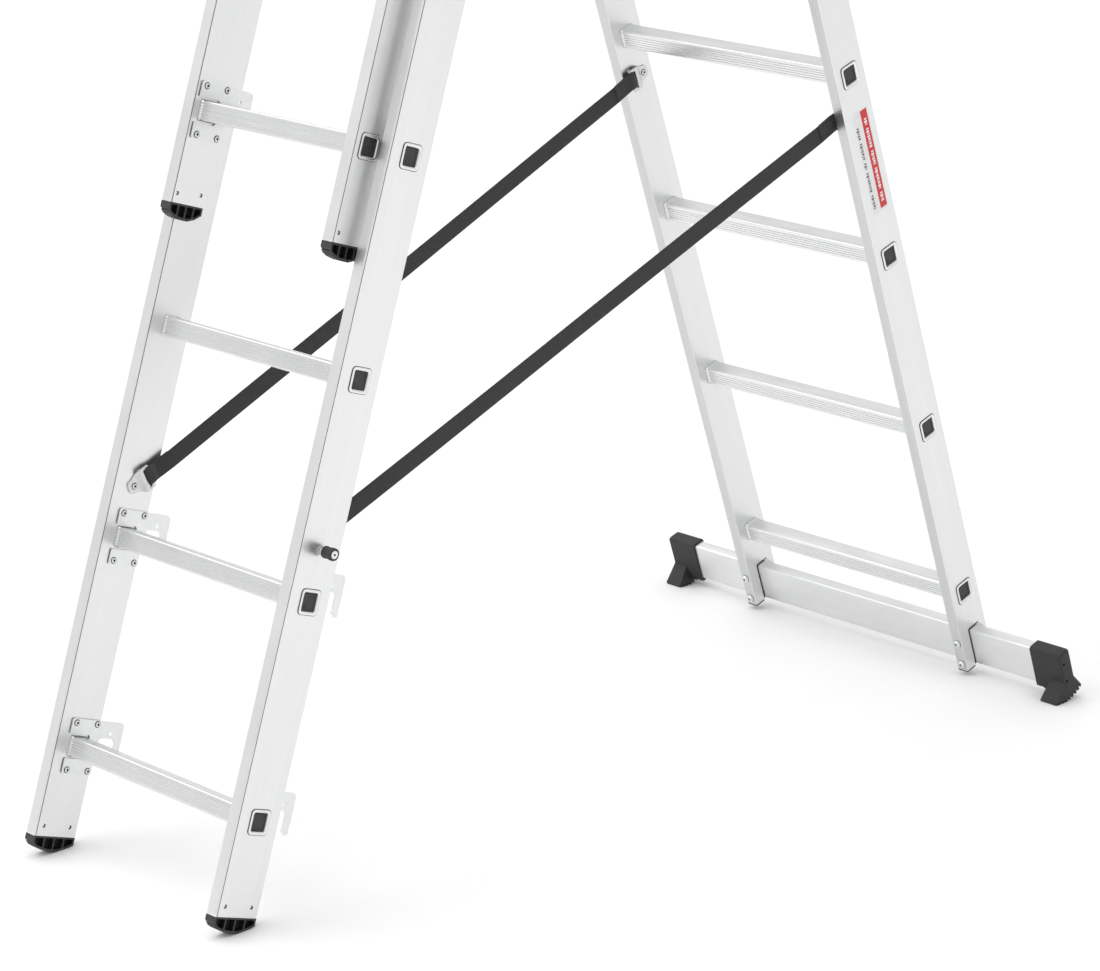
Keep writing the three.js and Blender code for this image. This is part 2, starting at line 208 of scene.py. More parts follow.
def aluminium(name, along, lo, hi, rough=(0.30, 0.44), lean=0.0):
    """Drawn, satin aluminium: lines run along one axis of the piece, which may lean about X."""
    m = Nodes(name)
    m.lean = lean
    def st(across, length):
        return tuple(length if i == along else across for i in range(3))
    broad = m.noise(st(40, 1.2), 2.0, 0.5)
    line = m.noise(st(760, 2.6), 4.0, 0.62)
    fine = m.noise(st(3200, 12), 3.0, 0.6)
    cloud = m.noise((7, 7, 7), 3.0, 0.6)
    scuff = m.noise(st(900, 120), 6.0, 0.75)
    tone = m.math("ADD", m.math("MULTIPLY", broad, 0.25), m.math("MULTIPLY", line, 0.75))
    tone = m.math("ADD", tone, m.math("MULTIPLY", m.math("SUBTRACT", cloud, 0.5), 0.35))
    m.set(Base_Color=m.ramp(tone, [(0.22, lo), (0.80, hi)]))
    r = m.math("ADD", m.math("MULTIPLY", fine, 0.5), m.math("MULTIPLY", cloud, 0.5))
    r = m.math("ADD", r, m.math("MULTIPLY", m.math("GREATER_THAN", scuff, 0.70), 0.22))
    m.set(Roughness=m.remap(r, rough[0], rough[1], 0.3, 0.75))
    m.p.inputs["Metallic"].default_value = 1.0
    m.p.inputs["Anisotropic"].default_value = 0.25
    n1 = m.bump(line, 0.16, 0.00005)
    m.set(Normal=m.bump(fine, 0.30, 0.00003, n1))
    return m.mat


def steel(name, lo=(0.74, 0.75, 0.755), hi=(0.82, 0.825, 0.83)):
    m = Nodes(name)
    spangle = m.voronoi((150, 150, 150))
    cloud = m.noise((40, 40, 40), 4.0, 0.6)
    grit = m.noise((1500, 1500, 1500), 3.0, 0.6)
    tone = m.math("ADD", m.math("MULTIPLY", spangle.outputs["Distance"], 0.35), m.math("MULTIPLY", cloud, 0.7))
    m.set(Base_Color=m.ramp(tone, [(0.15, lo), (0.85, hi)]))
    m.set(Roughness=m.remap(m.math("ADD", m.math("MULTIPLY", grit, 0.5), m.math("MULTIPLY", cloud, 0.5)), 0.28, 0.46, 0.3, 0.7))
    m.p.inputs["Metallic"].default_value = 1.0
    m.set(Normal=m.bump(grit, 0.22, 0.00004, m.bump(cloud, 0.10, 0.0001)))
    return m.mat


def plastic(name, dark, light, rough, grain=1400, depth=0.00010):
    m = Nodes(name)
    cloud = m.noise((60, 60, 60), 3.0, 0.6)
    g = m.noise((grain, grain, grain), 3.0, 0.55)
    cells = m.voronoi((grain * 0.7,) * 3)
    tone = m.math("ADD", m.math("MULTIPLY", cloud, 0.6), m.math("MULTIPLY", g, 0.4))
    m.set(Base_Color=m.ramp(tone, [(0.3, dark), (0.72, light)]))
    m.set(Roughness=m.remap(tone, rough[0], rough[1], 0.3, 0.7))
    m.p.inputs["Specular IOR Level"].default_value = 0.45
    m.set(Normal=m.bump(cells.outputs["Distance"], 0.25, depth, m.bump(g, 0.3, depth)))
    return m.mat


def webbing(name):
    m = Nodes(name)
    c = m.add("ShaderNodeTexCoord")
    sep = m.add("ShaderNodeSeparateXYZ")
    m.link(c.outputs["UV"], sep.inputs[0])
    u, v = sep.outputs[0], sep.outputs[1]
    a = m.math("SINE", m.math("MULTIPLY", u, 2 * math.pi / 0.0031))
    b = m.math("SINE", m.math("MULTIPLY", v, 2 * math.pi / 0.0030))
    weave = m.math("MULTIPLY", a, b)
    thread = m.math("SINE", m.math("MULTIPLY", m.math("ADD", u, m.math("MULTIPLY", v, 0.6)), 2 * math.pi / 0.0006))
    fluff = m.noise((900, 900, 900), 4.0, 0.6)
    height = m.math("ADD", weave, m.math("MULTIPLY", thread, 0.12))
    wear = m.noise((18, 18, 18), 3.0, 0.6)
    tone = m.math("ADD", m.remap(weave, 0.2, 0.6, -1, 1), m.math("MULTIPLY", m.math("ADD", fluff, wear), 0.25))
    m.set(Base_Color=m.ramp(tone, [(0.2, (0.005, 0.0052, 0.0056)), (0.9, (0.024, 0.0245, 0.026))]))
    m.set(Roughness=m.remap(fluff, 0.62, 0.9, 0.3, 0.7))
    m.p.inputs["Sheen Weight"].default_value = 0.16
    m.p.inputs["Sheen Roughness"].default_value = 0.45
    m.set(Normal=m.bump(height, 0.8, 0.00035, m.bump(fluff, 0.25, 0.0002)))
    return m.mat


def printed(name, lo, hi):
    m = Nodes(name)
    n = m.noise((2000, 2000, 2000), 3.0, 0.6)
    w = m.noise((30, 30, 30), 3.0, 0.6)
    m.set(Base_Color=m.ramp(m.math("ADD", m.math("MULTIPLY", n, 0.5), m.math("MULTIPLY", w, 0.5)), [(0.3, lo), (0.7, hi)]))
    m.set(Roughness=m.remap(w, 0.32, 0.48, 0.3, 0.7))
    m.set(Normal=m.bump(n, 0.08, 0.00003))
    return m.mat


ALU = aluminium("stile_satin", 2, (0.765, 0.769, 0.773), (0.850, 0.853, 0.856))
REAR_ALU = aluminium("rear_satin_drawn", 2, (0.74, 0.744, 0.748), (0.825, 0.828, 0.831), lean=-math.asin(S))
# a darker copy of the rear stiles' aluminium for their front flange faces: painted shade on that side
REAR_FLANGE_SHADE = aluminium("rear_edge_satin_drawn", 2, (0.555, 0.559, 0.563), (0.635, 0.638, 0.641), lean=-math.asin(S))
# near-black aluminium for the faces of the fine corner grooves: painted shade in the grooves
GROOVE_SHADE = aluminium("seam_satin", 2, (0.10, 0.10, 0.10), (0.20, 0.20, 0.20), (0.5, 0.6))
RUNG = aluminium("rung_satin", 0, (0.72, 0.725, 0.73), (0.87, 0.873, 0.876), (0.26, 0.40))
STEEL = steel("zinc_steel")
LUG_STEEL = steel("lug_zinc_steel", (0.60, 0.605, 0.61), (0.70, 0.705, 0.71))
RIVET = plastic("rivet_head", (0.72, 0.73, 0.74), (0.86, 0.865, 0.87), (0.26, 0.40), 1600, 0.00003)
RIVET.node_tree.nodes["Principled BSDF"].inputs["Metallic"].default_value = 1.0
# near-black: on the rims under rivet and bolt heads it is a painted shadow of the gap; in their centre recesses it is
# the mandrel hole with painted shade
MANDREL_AND_SHADE = plastic("mandrel_and_painted_shade", (0.012, 0.012, 0.013), (0.05, 0.05, 0.052), (0.4, 0.6), 1800, 0.00004)
PLASTIC = plastic("black_moulded", (0.020, 0.0203, 0.021), (0.042, 0.0425, 0.044), (0.42, 0.58))
# near-black plastic, darker than the moulded parts: painted shade in pockets, holes and gaps
BLACK_SHADE = plastic("black_painted_shade", (0.002, 0.002, 0.0022), (0.006, 0.006, 0.0064), (0.65, 0.85), 1500, 0.00006)
RUBBER = plastic("shoe_moulded", (0.011, 0.0112, 0.0118), (0.030, 0.0305, 0.032), (0.52, 0.70), 1100, 0.00016)
WEB = webbing("black_webbing")
THREAD = plastic("stitch_thread", (0.010, 0.010, 0.011), (0.040, 0.041, 0.043), (0.6, 0.8), 2600, 0.00008)
RED = printed("label_red", (0.50, 0.018, 0.022), (0.62, 0.035, 0.038))
WHITE = printed("label_white", (0.78, 0.78, 0.78), (0.90, 0.90, 0.90))
CLEAR = printed("label_film_white", (0.70, 0.70, 0.70), (0.76, 0.76, 0.76))
GREY = printed("label_grey", (0.05, 0.05, 0.055), (0.10, 0.10, 0.105))


# ------------------------------------------------------------------ mesh helpers (mm)
def rr(a0, b0, a1, b1, r, n=5):
    pts = []
    for ca, cb, start in ((a1 - r, b0 + r, -90), (a1 - r, b1 - r, 0), (a0 + r, b1 - r, 90), (a0 + r, b0 + r, 180)):
        for i in range(n + 1):
            t = math.radians(start + 90 * i / n)
            pts.append((ca + r * math.cos(t), cb + r * math.sin(t)))
    return pts


def circle(ca, cb, r, n=24):
    return [(ca + r * math.cos(2 * math.pi * i / n), cb + r * math.sin(2 * math.pi * i / n)) for i in range(n)]


def rect(a0, b0, a1, b1):
    return [(a0, b0), (a1, b0), (a1, b1), (a0, b1)]


def fillet(pts, r, n=4):
    """Rounds the corners of a closed outline; r is one radius or one for each point."""
    out, m = [], len(pts)
    for i in range(m):
        p0, p1, p2 = (Vector(pts[(i + k - 1) % m]) for k in range(3))
        ri = r[i] if isinstance(r, (list, tuple)) else r
        d0, d2 = p0 - p1, p2 - p1
        if d0.length < 1e-6 or d2.length < 1e-6:
            continue
        angle = d0.angle(d2)
        if ri <= 0 or angle > math.radians(168):
            out.append(tuple(p1))
            continue
        cut = min(ri / math.tan(angle / 2), d0.length * 0.48, d2.length * 0.48)
        ri = cut * math.tan(angle / 2)
        a, b = p1 + d0.normalized() * cut, p1 + d2.normalized() * cut
        mid = (d0.normalized() + d2.normalized()).normalized()
        centre = p1 + mid * math.hypot(cut, ri)
        va, vb = a - centre, b - centre
        sweep = math.atan2(va.x * vb.y - va.y * vb.x, va.dot(vb))
        for k in range(n + 1):
            t = sweep * k / n
            out.append((centre.x + va.x * math.cos(t) - va.y * math.sin(t), centre.y + va.x * math.sin(t) + va.y * math.cos(t)))
    return out


def toothed(line, pitch, depth, land=0.55):
    """Points along an open line with square teeth cut into its left side; the line's own ends stay."""
    p = [Vector(q) for q in line]
    seg = [(p[i + 1] - p[i]).length for i in range(len(p) - 1)]
    total = sum(seg)
    def at(d):
        for i, s in enumerate(seg):
            if d <= s or i == len(seg) - 1:
                t = (p[i + 1] - p[i]) / s
                return p[i] + t * d, Vector((-t.y, t.x))
            d -= s
    n = max(1, round((total - pitch * land) / pitch))
    step = (total - pitch * land) / n
    out = []
    for k in range(n + 1):
        d0 = k * step
        a, na = at(d0)
        b, nb = at(min(total, d0 + pitch * land))
        out += [tuple(a), tuple(b)]
        if k < n:
            c, nc = at(d0 + pitch * land + (step - pitch * land) * 0.15)
            e, ne = at(d0 + step - (step - pitch * land) * 0.15)
            out += [tuple(c + nc * depth), tuple(e + ne * depth)]
    return out


class Mesh:
    """Vertices in mm, faces, and one material number for each face."""

    def __init__(self):
        self.v, self.f, self.m = [], [], []

    def add(self, verts, faces, mat=0):
        b = len(self.v)
        self.v += [tuple(map(float, p)) for p in verts]
        self.f += [tuple(b + i for i in face) for face in faces]
        self.m += [mat] * len(faces)
        return self

    def loft(self, rings, mat=0, caps=(True, True), around=False):
        n = len(rings[0])
        verts = [p for r in rings for p in r]
        faces, k = [], len(rings)
        for i in range(k if around else k - 1):
            a, b = i * n, ((i + 1) % k) * n
            for j in range(n):
                faces.append((a + j, a + (j + 1) % n, b + (j + 1) % n, b + j))
        if not around:
            if caps[0]:
                faces.append(tuple(range(n))[::-1])
            if caps[1]:
                faces.append(tuple((k - 1) * n + j for j in range(n)))
        return self.add(verts, faces, mat)

    def plate(self, outer, holes, lo, hi, put, mat=0):
        """Flat piece with holes between two heights; put turns (a, b, height) into a point."""
        loops = [list(outer)] + [list(h) for h in holes]
        flat = [p for l in loops for p in l]
        n = len(flat)
        tris = tessellate_polygon([[Vector((a, b, 0)) for a, b in l] for l in loops])
        verts = [put(a, b, lo) for a, b in flat] + [put(a, b, hi) for a, b in flat]
        faces = [tuple(t) for t in tris] + [tuple(n + i for i in t)[::-1] for t in tris]
        start = 0
        for l in loops:
            for j in range(len(l)):
                a, b = start + j, start + (j + 1) % len(l)
                faces.append((a, b, n + b, n + a))
            start += len(l)
        return self.add(verts, faces, mat)

    def turned(self, profile, put, n=20, mats=None, phase=0.0):
        """Profile of (height, radius); put turns (a, b, height) into a point."""
        rings, base = [], len(self.v)
        verts, faces, fm, idx = [], [], [], []
        for h, r in profile:
            if r <= 1e-6:
                idx.append([len(verts)])
                verts.append(put(0, 0, h))
            else:
                idx.append([len(verts) + j for j in range(n)])
                verts += [put(r * math.cos(phase + 2 * math.pi * j / n), r * math.sin(phase + 2 * math.pi * j / n), h) for j in range(n)]
        for i in range(len(idx) - 1):
            a, b = idx[i], idx[i + 1]
            m = mats[i] if mats else 0
            for j in range(n):
                k = (j + 1) % n
                if len(a) == 1 and len(b) == 1:
                    continue
                if len(a) == 1:
                    faces.append((a[0], b[k], b[j]))
                elif len(b) == 1:
                    faces.append((a[j], a[k], b[0]))
                else:
                    faces.append((a[j], a[k], b[k], b[j]))
                fm.append(m)
        b = len(self.v)
        self.v += [tuple(map(float, p)) for p in verts]
        self.f += [tuple(b + i for i in f) for f in faces]
        self.m += fm
        return self

    def mirror(self, side):
        if side < 0:
            self.v = [(-x, y, z) for x, y, z in self.v]
        return self


def to_object(name, mesh, mats, sec=None, scale=0.001):
    me = bpy.data.meshes.new(name)
    me.from_pydata([tuple(c * scale for c in p) for p in mesh.v], [], mesh.f)
    for m in mats:
        me.materials.append(m)
    me.polygons.foreach_set("material_index", mesh.m)
    bm = bmesh.new()
    bm.from_mesh(me)
    bmesh.ops.remove_doubles(bm, verts=bm.verts, dist=1e-7)
    bmesh.ops.recalc_face_normals(bm, faces=bm.faces)
    bm.to_mesh(me)
    bm.free()
    o = bpy.data.objects.new(name, me)
    bpy.context.scene.collection.objects.link(o)
    if sec:
        o.matrix_world = SEC[sec]["M"]
    return o


def bake(o):
    dg = bpy.context.evaluated_depsgraph_get()
    dg.update()
    me = bpy.data.meshes.new_from_object(o.evaluated_get(dg), preserve_all_data_layers=True, depsgraph=dg)
    old = o.data
    o.modifiers.clear()
    o.data = me
    me.name = o.name
    bpy.data.meshes.remove(old)


def cut(o, cutter, op="DIFFERENCE", carry=False):
    m = o.modifiers.new("cut", "BOOLEAN")
    m.operation = op
    m.solver = "EXACT"
    m.material_mode = "TRANSFER" if carry else "INDEX"
    m.object = cutter
    bake(o)
    me = cutter.data
    bpy.data.objects.remove(cutter)
    bpy.data.meshes.remove(me)
    return o


def shade(o, angle=38, bevel=None, seg=2, limit=30, weighted=True):
    """Optional edge rounding, then smooth shading with sharp edges kept."""
    if bevel:
        b = o.modifiers.new("edge", "BEVEL")
        b.width = bevel / 1000
        b.segments = seg
        b.limit_method = "ANGLE"
        b.angle_limit = math.radians(limit)
        b.use_clamp_overlap = True
        b.miter_outer = "MITER_ARC"
        bake(o)
    me = o.data
    me.polygons.foreach_set("use_smooth", [True] * len(me.polygons))
    me.set_sharp_from_angle(angle=math.radians(angle))
    if weighted:
        w = o.modifiers.new("normals", "WEIGHTED_NORMAL")
        w.keep_sharp = True
        w.weight = 60
        bake(o)
    return o


def finish_piece(o, body, nodes=()):
    if not o.data.materials[0].name.endswith("_satin"):
        o.data.transform(o.matrix_world)      # only the drawn aluminium needs its section's own axes
        o.matrix_world = Matrix.Identity(4)
    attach(o, body)
    if nodes:
        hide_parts(*nodes)
    return o


def PX(side=1):
    """(a, b, h) is (y, z, x)."""
    return lambda a, b, h: (side * h, a, b)


def inward(x0, y0, z0, side):
    """For a head standing on an inner face at |x| = x0, pointing to the middle of the ladder."""
    return lambda a, b, h: (side * (x0 - h), y0 + a, z0 + b)


def outward(x0, y0, z0, side):
    return lambda a, b, h: (side * (x0 + h), y0 + a, z0 + b)


# faces given 1 take the near-black: the rim under the head is a painted shadow of the gap to the plate, the centre
# recess painted shade in the mandrel hole
RIVET_PROFILE = [(-0.4, 4.5), (0.12, 4.6), (0.3, 4.5), (0.35, 3.6), (0.75, 3.65), (1.15, 3.5), (1.6, 3.0), (1.85, 2.3), (1.85, 1.8), (1.6, 1.6), (0.5, 1.5), (0.5, 0.0)]
RIVET_MATS = [1, 1, 1, 1, 0, 0, 0, 0, 1, 1, 1]


def add_rivet(mesh, put):
    mesh.turned([(RIVET_PROFILE[0][0], 0.0)] + RIVET_PROFILE, put, 24, [1] + RIVET_MATS)


# ------------------------------------------------------------------ stiles
HOLES = {"front": [(12.3, 13.6), (55.7, 13.6)], "top": [(8.1, 12.4), (47.2, 15.5)], "rear": []}


def stile_profile(x0, x1, D, line):
    """Outer and inner outline with as many points each. The front corners carry a fine drawn groove on the wide sides;
    the third list holds the groove's faces, which get near-black aluminium as painted shade.
    """
    base, tight = rr(x0, 0, x1, D, 1.5, 5), rr(x0 + WALL, WALL, x1 - WALL, D - WALL, 1.0, 5)
    outer, inner, shaded_groove = [], [], []
    for i, (p, q) in enumerate(zip(base, tight)):
        j = (i + 1) % len(base)
        outer.append(p)
        inner.append(q)
        if line and i % 6 == 5 and abs(base[j][0] - p[0]) < 1e-6:      # a wide side starts here
            x, sx = p[0], math.copysign(1, p[0] - (x0 + x1) / 2)
            up = base[j][1] > p[1]
            steps = ((1.55, 0), (1.75, 0.55), (2.55, 0.55), (2.75, 0))
            for t, d in (steps if up else steps[::-1]):
                shaded_groove.append(len(outer))
                outer.append((x - sx * d, t))
                inner.append((q[0], max(q[1], t) if up else max(base[j][1], t)))
            shaded_groove.pop()
    return outer, inner, shaded_groove


def stile(name, side, word):
    sec = SEC[name]
    x1, x0 = sec["W"] / 2, sec["W"] / 2 - T
    outer, inner, shaded_groove = stile_profile(x0, x1, sec["D"], name != "rear")
    levels = [0.0, 0.35, LEN - 0.35, LEN]
    grow = [-0.3, 0.0, 0.0, -0.3]
    cx, cy = (x0 + x1) / 2, sec["D"] / 2
    def ring(pts, z, g):
        return [(a + math.copysign(g, a - cx), b + (math.copysign(g, b - cy) if min(b, sec["D"] - b) < 2.6 else 0), z) for a, b in pts]
    rings = [ring(outer, z, g) for z, g in zip(levels, grow)] + [ring(inner, z, 0) for z in (LEN, 0.0)]
    m = Mesh().loft(rings, around=True)
    # the corner groove faces take the near-black aluminium: painted shade
    for i in range(3):
        for j in shaded_groove:
            m.m[i * len(outer) + j] = 1
        # the rear stiles' front flange faces take the darker copy: painted shade
        if name == "rear":
            for j in (0, 1, len(outer) - 1, len(outer) - 2, len(outer) - 3):
                m.m[i * len(outer) + j] = 2
    o = to_object(f"{name}_stile_{word}_visual", m.mirror(side), [REAR_ALU if name == "rear" else ALU, GROOVE_SHADE, REAR_FLANGE_SHADE], name)
    c = Mesh()
    for i in range(RUNGS):
        z = sec["Z1"] + i * PITCH
        c.plate(rr(sec["RY"] - RUNG_Y - GAP, z - RUNG_Z - GAP, sec["RY"] + RUNG_Y + GAP, z + RUNG_Z + GAP, 2.5, 3), [], x0 - 5, x1 + 5, PX())
    for y, z in HOLES[name]:
        c.plate(circle(y, z, 2.7, 18), [], x0 - 5, x1 + 5, PX())
    if name == "rear":
        c.plate(fillet([(18.9, -2), (60, -2), (60, 38.5), (41.5, 62.5), (18.9, 62.5)], [0, 0, 0, 2, 3.6], 3), [], x0 - 5, x1 + 5, PX())
    cut(o, to_object("cutter", c.mirror(side), [ALU], name))
    if name == "rear":
        dot = Mesh().plate(circle(40.7, 62.3, 1.7, 16), [], x0 - 5, x1 + 5, PX())
        cut(o, to_object("cutter", dot.mirror(side), [ALU], name))
    shade(o, 38)
    finish_piece(o, sec["body"], [f"{name}_stile_{word}"])
    if HOLES[name]:
        pins = Mesh()
        for y, z in HOLES[name]:
            for put in (outward(x1 - 2.0, y, z, side), inward(x0 + 2.0, y, z, side)):
                pins.turned([(-2.5, 0), (-2.5, 2.65), (-0.4, 2.65), (0.0, 2.3), (0.15, 1.2), (0.15, 0)], put, 18)
        po = to_object(f"{name}_foot_pins_{word}", pins, [RIVET], name)
        shade(po, 45)
        finish_piece(po, sec["body"])
    if name == "rear":
        # a near-black sheet in the notch around the bar: a painted shadow of the gap between stile and bar
        notch_shade = fillet([(19.0, 1.5), (20.15, 1.5), (20.15, 61.15), (40.6, 61.15), (40.0, 62.4), (19.0, 62.4)], [0.3, 0.3, 2.6, 0.3, 0.3, 3.5], 4)
        lm = Mesh().plate(notch_shade, [], x0 - 0.5, x1 + 0.5, PX())
        lo_ = to_object(f"bar_notch_shade_{word}", lm.mirror(side), [BLACK_SHADE], name)
        shade(lo_, 38, 0.2, 2)
        finish_piece(lo_, sec["body"])
        # a real end plug, drawn in the near-black plastic, darker than the moulded parts: painted shade at the stile's
        # end
        tip = Mesh()
        for z0, z1, d in ((-2.4, -0.1, 0.0), (-0.4, 22.0, WALL + 0.2)):
            tip.plate(rr(x0 + d, d, x1 - d, 18.6 - (0 if d < 1 else 1.0), 1.2, 4), [], z0, z1, lambda p, q, h: (p, q, h))
        to_ = to_object(f"rear_end_plug_{word}", tip.mirror(side), [BLACK_SHADE], name)
        shade(to_, 38, 0.2, 2)
        finish_piece(to_, sec["body"])


# ------------------------------------------------------------------ rungs
def rung_ring(x, cy, cz, d, g, r=2.4):
    """One cross-section: d is what is added to the half sizes, g the depth of the grip grooves."""
    hy, hz, r = RUNG_Y + d, RUNG_Z + d, max(0.9, r + d * (0.8 if r < 3 else 0.55))
    n, pitch, w = 5, 3.7, 1.2
    k = (hz - r) / (RUNG_Z - 2.4)
    pts = []
    def corner(ca, cb, start):
        for i in range(6):
            t = math.radians(start + 90 * i / 5)
            pts.append((x, ca + r * math.cos(t), cb + r * math.sin(t)))
    def face(sign):
        for i in range(n):
            zc = (-(n - 1) / 2 + i) * pitch * k
            for dz, dep in ((-w / 2, 0), (-w / 4, g), (w / 4, g), (w / 2, 0)):
                pts.append((x, cy + sign * (hy - dep), cz + sign * (zc + dz * k)))
    corner(cy + hy - r, cz - hz + r, -90)
    face(1)
    corner(cy + hy - r, cz + hz - r, 0)
    corner(cy - hy + r, cz + hz - r, 90)
    face(-1)
    corner(cy - hy + r, cz - hz + r, 180)
    return pts


def rung(name, i):
    sec = SEC[name]
    z, cy, xi, xo = sec["Z1"] + i * PITCH, sec["RY"], sec["W"] / 2 - T, sec["W"] / 2
    g = 0.95
    end = [  # x, growth, groove: from the middle of the rung outwards, over the rim and back into the bore
        (xi - 6.2, 0.0, g), (xi - 5.2, 0.05, g * 0.8), (xi - 4.2, 0.25, g * 0.4), (xi - 3.2, 0.75, 0.1), (xi - 2.2, 1.05, 0.0),
        (xi - 1.2, 1.1, 0.0), (xi - 0.45, 0.85, 0.0), (xi - 0.1, 0.3, 0.0), (xi + 0.4, 0.0, 0.0), (xo - 0.3, 0.0, 0.0), (xo + 0.3, 0.2, 0.0),
        (xo + 0.55, 0.6, 0.0), (xo + 0.6, 2.6, 0.0), (xo + 0.75, 3.0, 0.0), (xo + 1.0, 3.15, 0.0), (xo + 1.25, 2.95, 0.0), (xo + 1.42, 2.4, 0.0),
        (xo + 1.5, 1.6, 0.0), (xo + 1.45, 0.7, 0.0), (xo + 1.2, -0.1, 0.0), (xo + 0.6, -0.85, 0.0), (xo - 0.4, -1.5, 0.0), (xo - 2.0, -1.8, 0.0), (xo - 9.0, -1.9, 0.0)]
    r = lambda x: 3.5 if x > xo else 2.4
    rings = [rung_ring(-x, cy, z, d, gg, r(x)) for x, d, gg in end[::-1]] + [rung_ring(x, cy, z, d, gg, r(x)) for x, d, gg in end]
    m = Mesh().loft(rings, around=True)
    o = to_object(f"{name}_rung_{i + 1}_visual", m, [RUNG], name)
    shade(o, 50)
    finish_piece(o, sec["body"], [f"{name}_rung_{i + 1}"])


def rung_plugs(name, side, word):
    sec = SEC[name]
    xo, m = sec["W"] / 2, Mesh()
    for i in range(RUNGS):
        z, cy = sec["Z1"] + i * PITCH, sec["RY"]
        prof = [(xo - 9, -2.6), (xo - 8.5, -2.0), (xo - 0.9, -1.95), (xo - 0.4, -2.15), (xo - 0.1, -2.6), (xo - 0.05, -3.4), (xo - 0.25, -3.9),
                (xo - 0.9, -4.2), (xo - 1.15, -4.8), (xo - 1.1, -8.0)]
        rings = []
        for x, d in prof:
            hy, hz = RUNG_Y + d, RUNG_Z + d
            rings.append([(side * x, a, b) for a, b in rr(cy - hy, z - hz, cy + hy, z + hz, max(0.8, 3.3 + d * 0.35), 5)])
        m.loft(rings)
        m.plate(rr(cy - RUNG_Y - 3.9, z - RUNG_Z - 3.9, cy + RUNG_Y + 3.9, z + RUNG_Z + 3.9, 5.9, 6), [rr(cy - RUNG_Y - 0.8, z - RUNG_Z - 0.8, cy + RUNG_Y + 0.8, z + RUNG_Z + 0.8, 3.6, 5)[::-1]],
                xo + 0.03, xo + 0.42, lambda a, b, h: (side * h, a, b))
        m.turned([(-0.9, 0), (-0.9, 1.3), (0.0, 1.25), (0.25, 0.8), (0.3, 0)], outward(xo - 0.55, cy - 5.2, z - 6.0, side), 12)
    o = to_object(f"{name}_rung_plugs_{word}", m, [PLASTIC], name)
    shade(o, 40)
    finish_piece(o, sec["body"])


# ------------------------------------------------------------------ feet and caps
def foot(name, side, word):
    sec = SEC[name]
    D = sec["D"]
    k, x1 = D / 68.4, sec["W"] / 2 - 0.1
    x0 = sec["W"] / 2 - T + 0.1
    a = 42 * k
    sole = [(0.5, -8.0), (5.8 * k, -14.9), (13 * k, -17.8), (21 * k, -19.6), (31 * k, -20.8), (a, -20.8), (a + 15 * k * C, -20.8 + 15 * k * S), (D - 0.5, -10.4)]
    line = toothed(sole, 4.2, 1.1, 0.6)
    out = [(0.3, -GAP), (0.3, -7.4)] + line + [(D - 0.3, -9.8), (D - 0.3, -GAP)]
    m = Mesh().plate(out, [], x0, x1, PX())
    o = to_object(f"{name}_foot_{word}_visual", m.mirror(side), [PLASTIC], name)
    plug = Mesh().plate(rr(WALL + GAP, x0 + WALL + 0.2, D - WALL - GAP, x1 - WALL - 0.2, 1.0, 3), [], -2.0, 40, lambda p, q, h: (q, p, h))
    cut(o, to_object("cutter", plug.mirror(side), [PLASTIC], name), "UNION")
    def low(v):
        for p, q in zip(sole, sole[1:]):
            if p[0] <= v <= q[0]:
                return p[1] + (q[1] - p[1]) * (v - p[0]) / (q[0] - p[0])
        return sole[-1][1]
    v0, v1, n = 3.2, D - 3.0, 4
    w = (v1 - v0 - (n - 1) * 2.1) / n
    # the pockets carry the near-black plastic: painted shade in the recesses
    c = Mesh()
    for i in range(n):
        p0 = v0 + i * (w + 2.1)
        pts = [(p0, -2.6), (p0, min(-5.2, low(p0) + 3.3))] + [(p0 + w * t, low(p0 + w * t) + 3.3) for t in (0.25, 0.5, 0.75)] + [(p0 + w, min(-5.2, low(p0 + w) + 3.3)), (p0 + w, -2.6)]
        pts = fillet(pts, 1.3, 3)
        c.plate(pts, [], x1 - 8.0, x1 + 3, PX())
        c.plate(pts, [], x0 - 3, x0 + 8.0, PX())
    cut(o, to_object("cutter", c.mirror(side), [BLACK_SHADE], name), carry=True)
    shade(o, 38, 0.32, 2)
    finish_piece(o, sec["body"], [f"{name}_foot_{word}"])


def end_cap(name, side, word, nodes=()):
    sec = SEC[name]
    D, z = sec["D"], LEN + 0.1
    x1, x0 = sec["W"] / 2 - 0.1, sec["W"] / 2 - T + 0.1
    h = 6.3 if name == "top" else 5.0
    def ring(zz, d, r):
        return [(a, b, zz) for a, b in rr(x0 + d, 0.3 + d, x1 - d, D - 0.3 - d, r, 5)]
    inner = [(z - 34, 2.6, 1.0), (z - 33, 2.0, 1.0), (z, 1.95, 1.0), (z + 0.05, 0.15, 2.4), (z + 0.5, 0.0, 2.6), (z + h - 3.0, 0.0, 2.6), (z + h - 1.3, 0.5, 2.6),
             (z + h - 0.4, 1.5, 2.4), (z + h, 3.2, 2.0), (z + h, 4.6, 1.6), (z + h - 0.5, 5.0, 1.4), (z + h - 0.55, 6.5, 1.0)]
    m = Mesh().loft([ring(*r) for r in inner])
    o = to_object(f"{name}_cap_{word}_visual", m.mirror(side), [PLASTIC], name)
    shade(o, 42)
    finish_piece(o, sec["body"], nodes)


